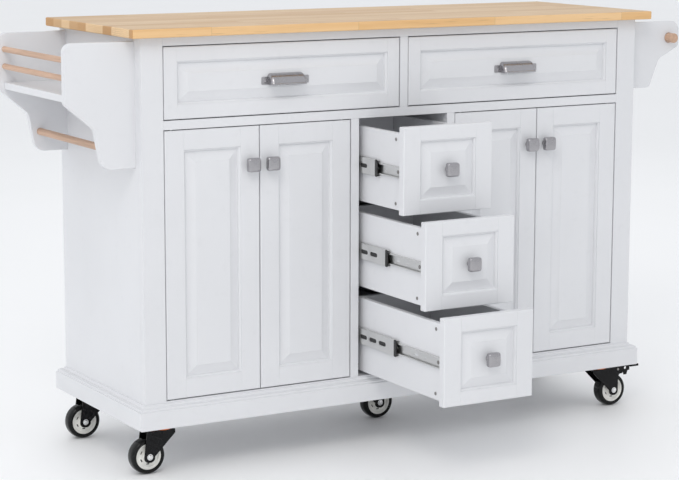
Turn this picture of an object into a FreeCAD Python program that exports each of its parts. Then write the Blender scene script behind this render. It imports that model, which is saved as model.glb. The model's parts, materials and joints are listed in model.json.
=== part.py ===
"""Kitchen island cart: a cabinet on five casters with four doors, five drawers and two side racks.

Row frame, millimetres: +Z up from the floor, the front faces -Y, and the origin is on the floor under
the middle of the cart as it stands, with its three bay drawers part open.
"""
import FreeCAD, Part
import os
import Sketcher

doc = FreeCAD.newDocument("kitchen_island_cart")
sheet = doc.addObject("Spreadsheet::Sheet", "sizes")

DRIVING_SIZES = {
    # overall
    "cabinet_width": 1222,
    "cabinet_depth": 410,
    "counter_height": 915,
    "caster_height": 103,
    # worktop
    "worktop_thick": 18,
    "worktop_overhang_side": 28,
    "worktop_overhang_front": 24,
    "worktop_overhang_back": 9,
    "worktop_round": 2.5,
    # carcass boards
    "side_thick": 15,
    "board_thick": 18,
    "back_thick": 6,
    "shelf_thick": 15,
    "shelf_height": 430,
    "shelf_setback": 36,
    "shelf_gap": 1,
    "shelf_pin_radius": 2.5,
    "shelf_pin_seat": 8,
    "shelf_pin_reach": 10,
    "shelf_pin_inset": 70,
    "fit_gap": 0.05,
    # face frame
    "frame_thick": 18,
    "post_width": 48,
    "bay_width": 220,
    "bay_stile_width": 19,
    "mullion_width": 19,
    "top_rail_height": 18,
    "top_opening_height": 149.5,
    "mid_rail_height": 18.5,
    "base_height": 53,
    # plinth
    "plinth_project": 17,
    "plinth_fascia_height": 38,
    "plinth_moulding_height": 12,
    "plinth_moulding_project": 9,
    "rail_width": 100,
    # doors
    "reveal": 2,
    "door_thick": 18,
    "door_stile_width": 43,
    "door_rail_height": 40,
    "door_pivot_inset": 17,
    "door_edge_round": 3,
    "pivot_radius": 3,
    "pivot_seat": 8,
    "pivot_end_gap": 1,
    "pivot_root": 12,
    "door_knob_drop": 80,
    # raised panels
    "panel_sink": 6,
    "field_sink": 1,
    "panel_bevel": 14,
    "panel_back_sink": 3,
    # drawers
    "bay_gap": 2.5,
    "bay_front_stile": 40,
    "bay_front_rail": 29,
    "top_front_border": 29,
    "box_below_top": 16,
    "box_above_bottom": 6,
    "box_length": 350,
    "box_wall": 12,
    "box_floor_thick": 5,
    "box_floor_rise": 8,
    "bay_top_open": 176,
    "bay_middle_open": 262,
    "bay_bottom_open": 335,
    # drawer slides
    "slide_gap": 12.7,
    "slide_length": 350,
    "slide_setback": 20,
    "slide_sheet": 1.2,
    "outer_height": 45,
    "outer_box_gap": 3.2,
    "middle_height": 35,
    "middle_start": 4,
    "middle_box_gap": 1.7,
    "inner_height": 24,
    "inner_wall_gap": 6.5,
    "spacer_height": 60,
    # knobs and pulls
    "knob_base_radius": 8,
    "knob_base_thick": 3,
    "knob_stem_radius": 5.5,
    "knob_head_size": 29,
    "knob_head_start": 11,
    "knob_project": 25,
    "knob_round": 5,
    "pull_length": 82,
    "pull_reach": 24,
    "pull_wall": 2,
    "pull_tab_length": 14,
    "pull_tab_height": 16,
    "pull_drop": 63,
    # spice rack, left
    "rack_reach": 150,
    "rack_bracket_thick": 15,
    "rack_front_inset": 30,
    "rack_back_inset": 18,
    "spice_drop": 9,
    "spice_height": 253,
    "spice_nose_round": 18,
    "spice_curve_round": 25,
    "rack_lip_round": 12,
    "spice_lip_height": 133,
    "spice_step_reach": 87,
    "spice_step_height": 81,
    "spice_foot_reach": 72,
    "spice_shelf_thick": 15,
    "spice_shelf_rise": 135,
    "spice_shelf_reach": 140,
    "guard_radius": 6,
    "guard_reach": 138,
    "guard_upper_rise": 219,
    "guard_lower_rise": 183,
    "towel_dowel_radius": 7.5,
    "towel_dowel_reach": 62,
    "towel_dowel_rise": 42,
    "dowel_seat": 8,
    # towel rack, right
    "towel_drop": 10,
    "towel_height": 150,
    "towel_nose_round": 22,
    "towel_curve_round": 20,
    "towel_foot_round": 10,
    "towel_lip_height": 92,
    "towel_step_reach": 94,
    "towel_step_height": 64,
    "towel_foot_reach": 68,
    "bar_radius": 11,
    "bar_reach": 121,
    "bar_rise": 112,
    "bar_overrun": 21,
    # casters
    "caster_inset_side": 54,
    "caster_inset_front": 40,
    "centre_caster_offset": 23,
    "caster_trail": 35,
    "wheel_radius": 37.5,
    "tread_width": 28,
    "tread_round": 4,
    "rim_radius": 28,
    "rim_width": 25,
    "web_radius": 24.5,
    "web_width": 17,
    "hub_radius": 12,
    "hub_width": 31,
    "axle_radius": 4,
    "axle_head_radius": 7,
    "axle_head_thick": 4,
    "plate_length": 60,
    "plate_thick": 3,
    "race_radius": 22,
    "race_height": 9,
    "swivel_gap": 0.3,
    "kingpin_radius": 6,
    "kingpin_reach": 5,
    "fork_inside": 32,
    "fork_sheet": 2.5,
    "fork_top_thick": 3,
    "fork_tail": 23,
    "fork_tail_height": 8,
    "fork_cheek": 12,
    "fork_foot_round": 10,
    "fork_ear_reach": 18,
    "fork_ear_height": 14,
    "fork_top_reach": 5,
    "pedal_pivot_reach": 11,
    "pedal_pivot_drop": 17,
    "pedal_pivot_radius": 3,
    "pedal_pin_overrun": 1,
    "pedal_hub_radius": 6.5,
    "pedal_width": 30,
    "pedal_sheet": 2.5,
    "pedal_length": 60,
    "pedal_pad_length": 24,
    "pedal_pad_width": 36,
    "pedal_lug_start": 17,
    "pedal_lug_length": 14,
    "pedal_lug_taper": 3.5,
    "pedal_lug_drop": 16,
    "pedal_eye_radius": 3.5,
    "pedal_shoe_length": 8,
    "pedal_shoe_start": 10,
    "pedal_shoe_drop": 13,
}

for row, (alias, number) in enumerate(DRIVING_SIZES.items(), start=1):
    sheet.set(f"A{row}", alias)
    sheet.set(f"B{row}", str(number))
    sheet.setAlias(f"B{row}", alias)
doc.recompute()


class Size:
    """Arithmetic on cells of the sheet, kept as the text of a FreeCAD expression."""

    def __init__(self, text):
        self.text = str(text)

    def __str__(self):
        return self.text

    def __add__(self, other):
        return Size(f"({self} + {other})")

    def __radd__(self, other):
        return Size(f"({other} + {self})")

    def __sub__(self, other):
        return Size(f"({self} - {other})")

    def __rsub__(self, other):
        return Size(f"({other} - {self})")

    def __mul__(self, other):
        return Size(f"({self} * {other})")

    def __truediv__(self, other):
        return Size(f"({self} / {other})")

    def __neg__(self):
        return Size(f"(0 - {self})")

    def value(self):
        return float(sheet.evalExpression(self.text))


def number_of(size):
    return size.value() if isinstance(size, Size) else float(size)


cell = {alias: Size(f"sizes.{alias}") for alias in DRIVING_SIZES}

X_AXIS = FreeCAD.Vector(1, 0, 0)
Y_AXIS = FreeCAD.Vector(0, 1, 0)
Z_AXIS = FreeCAD.Vector(0, 0, 1)
# turns that lay a cylinder's own +Z along a row axis
ALONG = {
    "x": FreeCAD.Rotation(Y_AXIS, 90),
    "y": FreeCAD.Rotation(X_AXIS, -90),
    "z": FreeCAD.Rotation(),
}
# turn that stands a knob or pull, built on +Z, on a face that looks along -Y
FACING_FRONT = FreeCAD.Rotation(X_AXIS, 90)

nodes = []


# ---------------------------------------------------------------- building blocks


def bind(thing, **sizes):
    """Tie each named property of thing to its expression."""
    for name, size in sizes.items():
        thing.setExpression(name, str(size))
    return thing


def place(thing, x=0, y=0, z=0, turn=None):
    """Put thing at x, y, z, each held to the sheet."""
    if turn is not None:
        thing.Placement = FreeCAD.Placement(FreeCAD.Vector(), turn)
    for name, size in zip("xyz", (x, y, z)):
        thing.setExpression(f"Placement.Base.{name}", str(size))
    return thing


def box(name, x, y, z):
    """A box from low to high along each axis."""
    solid = doc.addObject("Part::Box", name)
    bind(solid, Length=x[1] - x[0], Width=y[1] - y[0], Height=z[1] - z[0])
    return place(solid, x[0], y[0], z[0])


def rod(name, axis, radius, length, x=0, y=0, z=0):
    """A cylinder that starts at x, y, z and runs along axis."""
    solid = doc.addObject("Part::Cylinder", name)
    bind(solid, Radius=radius, Height=length)
    return place(solid, x, y, z, ALONG[axis])


def fuse(name, pieces):
    solid = doc.addObject("Part::MultiFuse", name)
    solid.Shapes = pieces
    return solid


def cut(name, base, tool):
    solid = doc.addObject("Part::Cut", name)
    solid.Base = base
    solid.Tool = tool
    return solid


def group(name, pieces):
    """Separate solids kept together."""
    compound = doc.addObject("Part::Compound", name)
    compound.Links = pieces
    return compound


def node(thing, label):
    """Record thing as the sub-part called label."""
    thing.Label = label
    nodes.append(thing)
    return thing


def origin_plane(body, role):
    return next(plane for plane in body.Origin.OriginFeatures if plane.Role == role)


def outline_sketch(body, role, points):
    """A closed outline on an origin plane, each corner held to the sheet."""
    sketch = body.newObject("Sketcher::SketchObject", body.Name + "_outline")
    sketch.AttachmentSupport = (origin_plane(body, role), "")
    sketch.MapMode = "FlatFace"
    corners = [FreeCAD.Vector(number_of(u), number_of(v), 0) for u, v in points]
    for start, end in zip(corners, corners[1:] + corners[:1]):
        sketch.addGeometry(Part.LineSegment(start, end))
    count = len(points)
    for index in range(count):
        sketch.addConstraint(Sketcher.Constraint("Coincident", index, 2, (index + 1) % count, 1))
    for index, (point, corner) in enumerate(zip(points, corners)):
        for kind, size, distance in (("DistanceX", point[0], corner.x), ("DistanceY", point[1], corner.y)):
            if distance == 0:
                axis = -2 if kind == "DistanceX" else -1
                sketch.addConstraint(Sketcher.Constraint("PointOnObject", index, 1, axis))
                continue
            rule = sketch.addConstraint(Sketcher.Constraint(kind, -1, 1, index, 1, distance))
            sketch.setExpression(f"Constraints[{rule}]", str(size))
    return sketch


def round_edges(body, base, radius, wanted):
    """Fillet the edges of base whose middle points pass the test."""
    doc.recompute()
    names = []
    for index, edge in enumerate(base.Shape.Edges, start=1):
        if wanted(edge.CenterOfMass):
            names.append(f"Edge{index}")
    fillet = body.newObject("PartDesign::Fillet", f"{body.Name}_round")
    fillet.Base = (base, names)
    bind(fillet, Radius=radius)
    body.Tip = fillet
    return fillet


def near(a, b):
    return abs(a - b) < 0.01


def sheet_plate(name, points, rounds, low, high):
    """A plate that stands in the XZ plane, from low to high along Y, with some of its corners rounded."""
    body = doc.addObject("PartDesign::Body", name)
    sketch = outline_sketch(body, "XZ_Plane", points)
    pad = body.newObject("PartDesign::Pad", name + "_pad")
    pad.Profile = sketch
    pad.ReferenceAxis = (sketch, ["N_Axis"])
    bind(pad, Length=high - low)
    feature = pad
    for corner, radius in rounds.items():
        u, v = (number_of(size) for size in points[corner])
        feature = round_edges(body, feature, radius, lambda p, u=u, v=v: near(p.x, u) and near(p.z, v))
    # the pad grows towards -Y from the sketch
    return place(body, 0, high, 0)


def turned(name, points):
    """A solid of revolution about Y; each point is a radius and a place along the axis."""
    body = doc.addObject("PartDesign::Body", name)
    sketch = outline_sketch(body, "XY_Plane", points)
    turning = body.newObject("PartDesign::Revolution", name + "_turning")
    turning.Profile = sketch
    turning.ReferenceAxis = (sketch, ["V_Axis"])
    turning.Angle = 360
    return body


# ---------------------------------------------------------------- levels and faces

c = cell

LEFT = -c["cabinet_width"] / 2
RIGHT = c["cabinet_width"] / 2
IN_LEFT = LEFT + c["side_thick"]
IN_RIGHT = RIGHT - c["side_thick"]
# y = 0 is halfway from the bottom drawer's knob to the back of the plinth
KNOB_REACH = c["bay_bottom_open"] + c["knob_project"] - c["field_sink"]
FRONT = -(c["cabinet_depth"] + c["plinth_project"] - KNOB_REACH) / 2
BACK = FRONT + c["cabinet_depth"]
FRAME_BACK = FRONT + c["frame_thick"]
IN_BACK = BACK - c["back_thick"]

UNDERSIDE = c["caster_height"]
OPENING_FLOOR = UNDERSIDE + c["base_height"]
WORKTOP_UNDER = c["counter_height"] - c["worktop_thick"]
TOP_OPENING_TOP = WORKTOP_UNDER - c["top_rail_height"]
TOP_OPENING_FLOOR = TOP_OPENING_TOP - c["top_opening_height"]
OPENING_TOP = TOP_OPENING_FLOOR - c["mid_rail_height"]

POST_LEFT = LEFT + c["post_width"]
POST_RIGHT = RIGHT - c["post_width"]
BAY_LEFT = -c["bay_width"] / 2
BAY_RIGHT = c["bay_width"] / 2
DOORS_LEFT_END = BAY_LEFT - c["bay_stile_width"]
DOORS_RIGHT_END = BAY_RIGHT + c["bay_stile_width"]
MULLION_LEFT = -c["mullion_width"] / 2
MULLION_RIGHT = c["mullion_width"] / 2

PIVOT_Y = FRONT + c["door_thick"] / 2


# ---------------------------------------------------------------- worktop and carcass


def worktop():
    body = doc.addObject("PartDesign::Body", "worktop")
    slab = body.newObject("PartDesign::AdditiveBox", "worktop_slab")
    bind(
        slab,
        Length=c["cabinet_width"] + c["worktop_overhang_side"] * 2,
        Width=c["cabinet_depth"] + c["worktop_overhang_front"] + c["worktop_overhang_back"],
        Height=c["worktop_thick"],
    )
    doc.recompute()
    middle = slab.Height.Value / 2
    round_edges(body, slab, c["worktop_round"], lambda p: p.z > middle - 0.01)
    place(body, LEFT - c["worktop_overhang_side"], FRONT - c["worktop_overhang_front"], WORKTOP_UNDER)
    node(body, "worktop")


def side_panels():
    depth = (FRAME_BACK, BACK)
    height = (UNDERSIDE, WORKTOP_UNDER)
    for side, x in (("left", (LEFT, IN_LEFT)), ("right", (IN_RIGHT, RIGHT))):
        blank = box(f"side_{side}_blank", x, depth, height)
        node(cut(f"side_panel_{side}", blank, pin_holes(f"side_{side}")), f"side_panel_{side}")


def pin_places():
    """Y and Z of each shelf pin, the same on every wall."""
    z = c["shelf_height"] - c["shelf_pin_radius"]
    return [(FRAME_BACK + c["shelf_pin_inset"], z), (IN_BACK - c["shelf_pin_inset"], z)]


# the cupboard walls that carry shelf pins: the wall's face, and which way the pin leaves it
PIN_WALLS = {
    "side_left": (IN_LEFT, 1),
    "bay_left": (DOORS_LEFT_END, -1),
    "bay_right": (DOORS_RIGHT_END, 1),
    "side_right": (IN_RIGHT, -1),
}


def pin_rods(name, wall, radius, reach):
    """Two rods that start inside a wall and stand out of its face by reach."""
    face, way = PIN_WALLS[wall]
    start = face - c["shelf_pin_seat"] if way > 0 else face - reach
    length = c["shelf_pin_seat"] + reach
    rods = []
    for index, (y, z) in enumerate(pin_places()):
        rods.append(rod(f"{name}_{wall}_{index}", "x", radius, length, start, y, z))
    return rods


def pin_holes(wall):
    radius = c["shelf_pin_radius"] + c["fit_gap"]
    return fuse(f"{wall}_holes", pin_rods("hole", wall, radius, c["shelf_pin_seat"]))


def bay_partitions():
    depth = (FRAME_BACK, IN_BACK)
    height = (OPENING_FLOOR, OPENING_TOP)
    walls = []
    for side, x in (("left", (DOORS_LEFT_END, BAY_LEFT)), ("right", (BAY_RIGHT, DOORS_RIGHT_END))):
        blank = box(f"bay_{side}_blank", x, depth, height)
        walls.append(cut(f"bay_{side}_wall", blank, pin_holes(f"bay_{side}")))
    node(group("bay_partitions", walls), "bay_partitions")


def inside_boards():
    depth = (FRAME_BACK, IN_BACK)
    width = (IN_LEFT, IN_RIGHT)
    node(box("bottom_board", width, depth, (OPENING_FLOOR - c["board_thick"], OPENING_FLOOR)), "bottom_board")
    node(box("drawer_deck", width, depth, (OPENING_TOP, TOP_OPENING_FLOOR)), "drawer_deck")
    middle = slide_level("left")
    spacer_z = (middle - c["spacer_height"] / 2, middle + c["spacer_height"] / 2)
    pieces = [
        box("drawer_divider", (MULLION_LEFT, MULLION_RIGHT), depth, (TOP_OPENING_FLOOR, WORKTOP_UNDER)),
        box("spacer_left", (IN_LEFT, POST_LEFT), depth, spacer_z),
        box("spacer_right", (POST_RIGHT, IN_RIGHT), depth, spacer_z),
    ]
    node(group("drawer_divider_and_spacers", pieces), "drawer_divider_and_spacers")
    node(box("back_panel", width, (IN_BACK, BACK), (UNDERSIDE, WORKTOP_UNDER)), "back_panel")


def cupboard_shelves():
    depth = (FRONT + c["shelf_setback"], IN_BACK - c["shelf_gap"])
    height = (c["shelf_height"], c["shelf_height"] + c["shelf_thick"])
    gap = c["shelf_gap"]
    boards = [
        box("shelf_left", (IN_LEFT + gap, DOORS_LEFT_END - gap), depth, height),
        box("shelf_right", (DOORS_RIGHT_END + gap, IN_RIGHT - gap), depth, height),
    ]
    node(group("cupboard_shelves", boards), "cupboard_shelves")
    pins = []
    for wall in PIN_WALLS:
        pins += pin_rods("pin", wall, c["shelf_pin_radius"], c["shelf_pin_reach"])
    node(group("shelf_pins", pins), "shelf_pins")


# ---------------------------------------------------------------- face frame and plinth


def pivot_holes(name, z):
    """Four blind holes for the door pivots, from z up by twice the seat's depth."""
    holes = []
    for door, (pivot_x, _) in DOOR_PIVOTS.items():
        radius = c["pivot_radius"] + c["fit_gap"]
        holes.append(rod(f"{name}_{door}", "z", radius, c["pivot_seat"] * 2, pivot_x, PIVOT_Y, z))
    return fuse(f"{name}_holes", holes)


def face_frame():
    depth = (FRONT, FRAME_BACK)
    between = (POST_LEFT, POST_RIGHT)
    lower = (OPENING_FLOOR, OPENING_TOP)
    bottom_rail = box("bottom_rail_blank", between, depth, (UNDERSIDE, OPENING_FLOOR))
    mid_rail = box("mid_rail_blank", between, depth, (OPENING_TOP, TOP_OPENING_FLOOR))
    pieces = [
        box("post_left", (LEFT, POST_LEFT), depth, (UNDERSIDE, WORKTOP_UNDER)),
        box("post_right", (POST_RIGHT, RIGHT), depth, (UNDERSIDE, WORKTOP_UNDER)),
        box("bay_stile_left", (DOORS_LEFT_END, BAY_LEFT), depth, lower),
        box("bay_stile_right", (BAY_RIGHT, DOORS_RIGHT_END), depth, lower),
        box("mullion", (MULLION_LEFT, MULLION_RIGHT), depth, (TOP_OPENING_FLOOR, TOP_OPENING_TOP)),
        box("top_rail", between, depth, (TOP_OPENING_TOP, WORKTOP_UNDER)),
        cut("mid_rail", mid_rail, pivot_holes("upper_pivot", OPENING_TOP - c["pivot_seat"])),
        cut("bottom_rail", bottom_rail, pivot_holes("lower_pivot", OPENING_FLOOR - c["pivot_seat"])),
    ]
    node(group("face_frame", pieces), "face_frame")


def mitred_board(name, length, height, project, rise):
    """A board against a wall, built with the wall at y = 0 and the board towards -Y.

    Its ends are mitred outwards at 45 degrees, and its top slopes up to the wall by rise.
    """
    wedge = doc.addObject("Part::Wedge", name)
    half = length / 2
    bind(wedge, Ymin=-project, Ymax=0, Xmin=-half - project, Xmax=half + project, X2min=-half, X2max=half)
    bind(wedge, Zmin=height[0], Zmax=height[1] - rise, Z2min=height[0], Z2max=height[1])
    return wedge


def plinth():
    fascia = (UNDERSIDE, UNDERSIDE + c["plinth_fascia_height"])
    moulding = (fascia[1], fascia[1] + c["plinth_moulding_height"])
    walls = {
        "front": (c["cabinet_width"], 0, FRONT, 0),
        "back": (c["cabinet_width"], 0, BACK, 180),
        "left": (c["cabinet_depth"], LEFT, (FRONT + BACK) / 2, -90),
        "right": (c["cabinet_depth"], RIGHT, (FRONT + BACK) / 2, 90),
    }
    boards = []
    for wall, (length, x, y, turn) in walls.items():
        lower = mitred_board(f"fascia_{wall}", length, fascia, c["plinth_project"], 0)
        project = c["plinth_moulding_project"]
        upper = mitred_board(f"moulding_{wall}", length, moulding, project, c["plinth_moulding_height"] / 2)
        board = fuse(f"plinth_{wall}", [lower, upper])
        boards.append(place(board, x, y, 0, FreeCAD.Rotation(Z_AXIS, turn)))
    node(group("plinth", boards), "plinth")


# ---------------------------------------------------------------- frame-and-panel work


def plain_stile(name, x, y_front, z):
    return box(name, x, (y_front, y_front + c["door_thick"]), z)


def panel_solids(name, x, y_front, z, stile, rail):
    """What stands between the stiles of a frame-and-panel front: two rails and a raised panel."""
    back = y_front + c["door_thick"]
    inside_x = (x[0] + stile, x[1] - stile)
    inside_z = (z[0] + rail, z[1] - rail)
    rail_low = box(f"{name}_rail_low", inside_x, (y_front, back), (z[0], inside_z[0]))
    rail_high = box(f"{name}_rail_high", inside_x, (y_front, back), (inside_z[1], z[1]))
    border = y_front + c["panel_sink"]
    board = box(f"{name}_board", inside_x, (border, back - c["panel_back_sink"]), inside_z)
    field = doc.addObject("Part::Wedge", f"{name}_field")
    bevel = c["panel_bevel"]
    bind(field, Ymin=y_front + c["field_sink"], Ymax=border)
    bind(field, Xmin=inside_x[0] + bevel, Xmax=inside_x[1] - bevel, X2min=inside_x[0], X2max=inside_x[1])
    bind(field, Zmin=inside_z[0] + bevel, Zmax=inside_z[1] - bevel, Z2min=inside_z[0], Z2max=inside_z[1])
    return [rail_low, rail_high, fuse(f"{name}_panel", [board, field])]


def knob(label, x, y, z):
    """A square pillow knob on a round foot, standing on the front face at y."""
    body = doc.addObject("PartDesign::Body", label)
    foot = body.newObject("PartDesign::AdditiveCylinder", label + "_foot")
    bind(foot, Radius=c["knob_base_radius"], Height=c["knob_base_thick"])
    stem = body.newObject("PartDesign::AdditiveCylinder", label + "_stem")
    bind(stem, Radius=c["knob_stem_radius"], Height=c["knob_project"] - c["knob_round"])
    head = body.newObject("PartDesign::AdditiveBox", label + "_head")
    size = c["knob_head_size"]
    bind(head, Length=size, Width=size, Height=c["knob_project"] - c["knob_head_start"])
    place(head, -size / 2, -size / 2, c["knob_head_start"])
    start = c["knob_head_start"].value()
    edge = size.value() / 2
    round_edges(
        body,
        head,
        c["knob_round"],
        lambda p: p.z > start - 0.01 and max(abs(p.x), abs(p.y)) > edge - 0.01,
    )
    node(place(body, x, y, z, FACING_FRONT), label)


# ---------------------------------------------------------------- doors

MEETING_LEFT = (POST_LEFT + DOORS_LEFT_END) / 2
MEETING_RIGHT = (DOORS_RIGHT_END + POST_RIGHT) / 2
HALF_REVEAL = c["reveal"] / 2

# each door's edges, and the side that its pivots are on
DOOR_EDGES = {
    "door_left_outer": (POST_LEFT + c["reveal"], MEETING_LEFT - HALF_REVEAL, "left"),
    "door_left_inner": (MEETING_LEFT + HALF_REVEAL, DOORS_LEFT_END - c["reveal"], "right"),
    "door_right_inner": (DOORS_RIGHT_END + c["reveal"], MEETING_RIGHT - HALF_REVEAL, "left"),
    "door_right_outer": (MEETING_RIGHT + HALF_REVEAL, POST_RIGHT - c["reveal"], "right"),
}
DOOR_PIVOTS = {
    door: (left + c["door_pivot_inset"] if side == "left" else right - c["door_pivot_inset"], side)
    for door, (left, right, side) in DOOR_EDGES.items()
}


def pivot_stile(name, x, y, z, side, pivot_x):
    """The stile on the pivot side: rounded to clear the frame, with a hole for each pivot pin."""
    body = doc.addObject("PartDesign::Body", name)
    blank = body.newObject("PartDesign::AdditiveBox", name + "_blank")
    bind(blank, Length=x[1] - x[0], Width=y[1] - y[0], Height=z[1] - z[0])
    edge = 0 if side == "left" else (x[1] - x[0]).value()
    middle = (z[1] - z[0]).value() / 2
    round_edges(body, blank, c["door_edge_round"], lambda p: near(p.x, edge) and near(p.z, middle))
    place(body, x[0], y[0], z[0])
    holes = []
    for end, start in (("low", z[0]), ("high", z[1] - c["pivot_root"])):
        radius = c["pivot_radius"] + c["fit_gap"]
        holes.append(rod(f"{name}_hole_{end}", "z", radius, c["pivot_root"], pivot_x, PIVOT_Y, start))
    return cut(f"{name}_drilled", body, fuse(f"{name}_holes", holes))


def door(label):
    left, right, side = DOOR_EDGES[label]
    pivot_x, _ = DOOR_PIVOTS[label]
    z = (OPENING_FLOOR + c["reveal"], OPENING_TOP - c["reveal"])
    stile = c["door_stile_width"]
    pieces = panel_solids(label, (left, right), FRONT, z, stile, c["door_rail_height"])
    left_stile = (left, left + stile)
    right_stile = (right - stile, right)
    pivot_x_range, knob_x_range = (left_stile, right_stile) if side == "left" else (right_stile, left_stile)
    depth = (FRONT, FRONT + c["door_thick"])
    pieces.append(plain_stile(f"{label}_knob_stile", knob_x_range, FRONT, z))
    pieces.append(pivot_stile(f"{label}_pivot_stile", pivot_x_range, depth, z, side, pivot_x))
    # each pin fills its hole in the stile and stops short of the end of its hole in the frame
    pin_length = c["pivot_root"] + c["reveal"] + c["pivot_seat"] - c["pivot_end_gap"]
    for end, start in (("low", z[0] + c["pivot_root"] - pin_length), ("high", z[1] - c["pivot_root"])):
        pin = rod(f"{label}_pin_{end}", "z", c["pivot_radius"], pin_length, pivot_x, PIVOT_Y, start)
        pieces.append(pin)
    node(group(f"{label}_leaf", pieces), f"{label}_leaf")
    knob_x = (knob_x_range[0] + knob_x_range[1]) / 2
    knob(f"{label}_knob", knob_x, FRONT, OPENING_TOP - c["door_knob_drop"])


# ---------------------------------------------------------------- drawers and slides

BAY_FRONT_HEIGHT = (OPENING_TOP - OPENING_FLOOR - c["bay_gap"] * 4) / 3
BAY_PITCH = BAY_FRONT_HEIGHT + c["bay_gap"]
BAY_LOWEST = OPENING_FLOOR + c["bay_gap"]

# each drawer's opening, the foot and height of its front, and how far it stands open at rest
DRAWERS = {
    "left": {
        "opening": (POST_LEFT, MULLION_LEFT),
        "z": (TOP_OPENING_FLOOR + c["reveal"], TOP_OPENING_TOP - c["reveal"]),
        "open": Size(0),
    },
    "right": {
        "opening": (MULLION_RIGHT, POST_RIGHT),
        "z": (TOP_OPENING_FLOOR + c["reveal"], TOP_OPENING_TOP - c["reveal"]),
        "open": Size(0),
    },
    "bay_top": {
        "opening": (BAY_LEFT, BAY_RIGHT),
        "z": (BAY_LOWEST + BAY_PITCH * 2, BAY_LOWEST + BAY_PITCH * 2 + BAY_FRONT_HEIGHT),
        "open": c["bay_top_open"],
    },
    "bay_middle": {
        "opening": (BAY_LEFT, BAY_RIGHT),
        "z": (BAY_LOWEST + BAY_PITCH, BAY_LOWEST + BAY_PITCH + BAY_FRONT_HEIGHT),
        "open": c["bay_middle_open"],
    },
    "bay_bottom": {
        "opening": (BAY_LEFT, BAY_RIGHT),
        "z": (BAY_LOWEST, BAY_LOWEST + BAY_FRONT_HEIGHT),
        "open": c["bay_bottom_open"],
    },
}


# how far each member of a slide stands out from the face that carries it
OUTER_WIDTH = c["slide_gap"] - c["outer_box_gap"]
MIDDLE_WIDTH = c["slide_gap"] - c["middle_start"] - c["middle_box_gap"]
INNER_WIDTH = c["slide_gap"] - c["inner_wall_gap"]


def box_z(drawer):
    low, high = DRAWERS[drawer]["z"]
    return low + c["box_above_bottom"], high - c["box_below_top"]


def slide_level(drawer):
    low, high = box_z(drawer)
    return (low + high) / 2


def channel(name, wall, way, start, width, height, y, level):
    """A sheet-metal channel: its web stands start from the wall, and its lips reach width along way."""
    sheet_thick = c["slide_sheet"]
    near_wall = wall + start * way
    far = near_wall + width * way
    web_inside = near_wall + sheet_thick * way
    x = (near_wall, far) if way > 0 else (far, near_wall)
    hollow = (web_inside, far) if way > 0 else (far, web_inside)
    blank = box(f"{name}_blank", x, y, (level - height / 2, level + height / 2))
    inside = height / 2 - sheet_thick
    return cut(name, blank, box(f"{name}_hollow", hollow, y, (level - inside, level + inside)))


def slide_walls(drawer):
    """Each side wall of a drawer's opening, and the way its slide grows from it."""
    left, right = DRAWERS[drawer]["opening"]
    return {"left": (left, 1), "right": (right, -1)}


def slide_outer_members():
    y = (FRONT + c["slide_setback"], FRONT + c["slide_setback"] + c["slide_length"])
    members = []
    for drawer in DRAWERS:
        for side, (wall, way) in slide_walls(drawer).items():
            name = f"outer_{drawer}_{side}"
            level = slide_level(drawer)
            member = channel(name, wall, way, Size(0), OUTER_WIDTH, c["outer_height"], y, level)
            members.append(member)
    node(group("slide_outer_members", members), "slide_outer_members")


def drawer_slide(drawer, label):
    """The two middle members, halfway between the cabinet's and the drawer's."""
    start = FRONT + c["slide_setback"] - DRAWERS[drawer]["open"] / 2
    y = (start, start + c["slide_length"])
    members = []
    for side, (wall, way) in slide_walls(drawer).items():
        name = f"middle_{drawer}_{side}"
        level = slide_level(drawer)
        member = channel(name, wall, way, c["middle_start"], MIDDLE_WIDTH, c["middle_height"], y, level)
        members.append(member)
    node(group(label, members), label)


def drawer_box(drawer, label):
    """Four walls and a floor, with the slide's inner member on each side."""
    left, right = DRAWERS[drawer]["opening"]
    z = box_z(drawer)
    y_low = FRONT - DRAWERS[drawer]["open"] + c["door_thick"]
    y = (y_low, y_low + c["box_length"])
    wall = c["box_wall"]
    x = (left + c["slide_gap"], right - c["slide_gap"])
    inside = (x[0] + wall, x[1] - wall)
    floor_low = z[0] + c["box_floor_rise"]
    pieces = [
        box(f"{label}_side_left", (x[0], inside[0]), y, z),
        box(f"{label}_side_right", (inside[1], x[1]), y, z),
        box(f"{label}_front", inside, (y[0], y[0] + wall), z),
        box(f"{label}_back", inside, (y[1] - wall, y[1]), z),
        box(
            f"{label}_floor",
            inside,
            (y[0] + wall, y[1] - wall),
            (floor_low, floor_low + c["box_floor_thick"]),
        ),
    ]
    member_y = (y_low, y_low + c["slide_length"])
    for side, (face, way) in {"left": (x[0], -1), "right": (x[1], 1)}.items():
        name = f"inner_{drawer}_{side}"
        level = slide_level(drawer)
        member = channel(name, face, way, Size(0), INNER_WIDTH, c["inner_height"], member_y, level)
        pieces.append(member)
    node(group(label, pieces), label)


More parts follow.
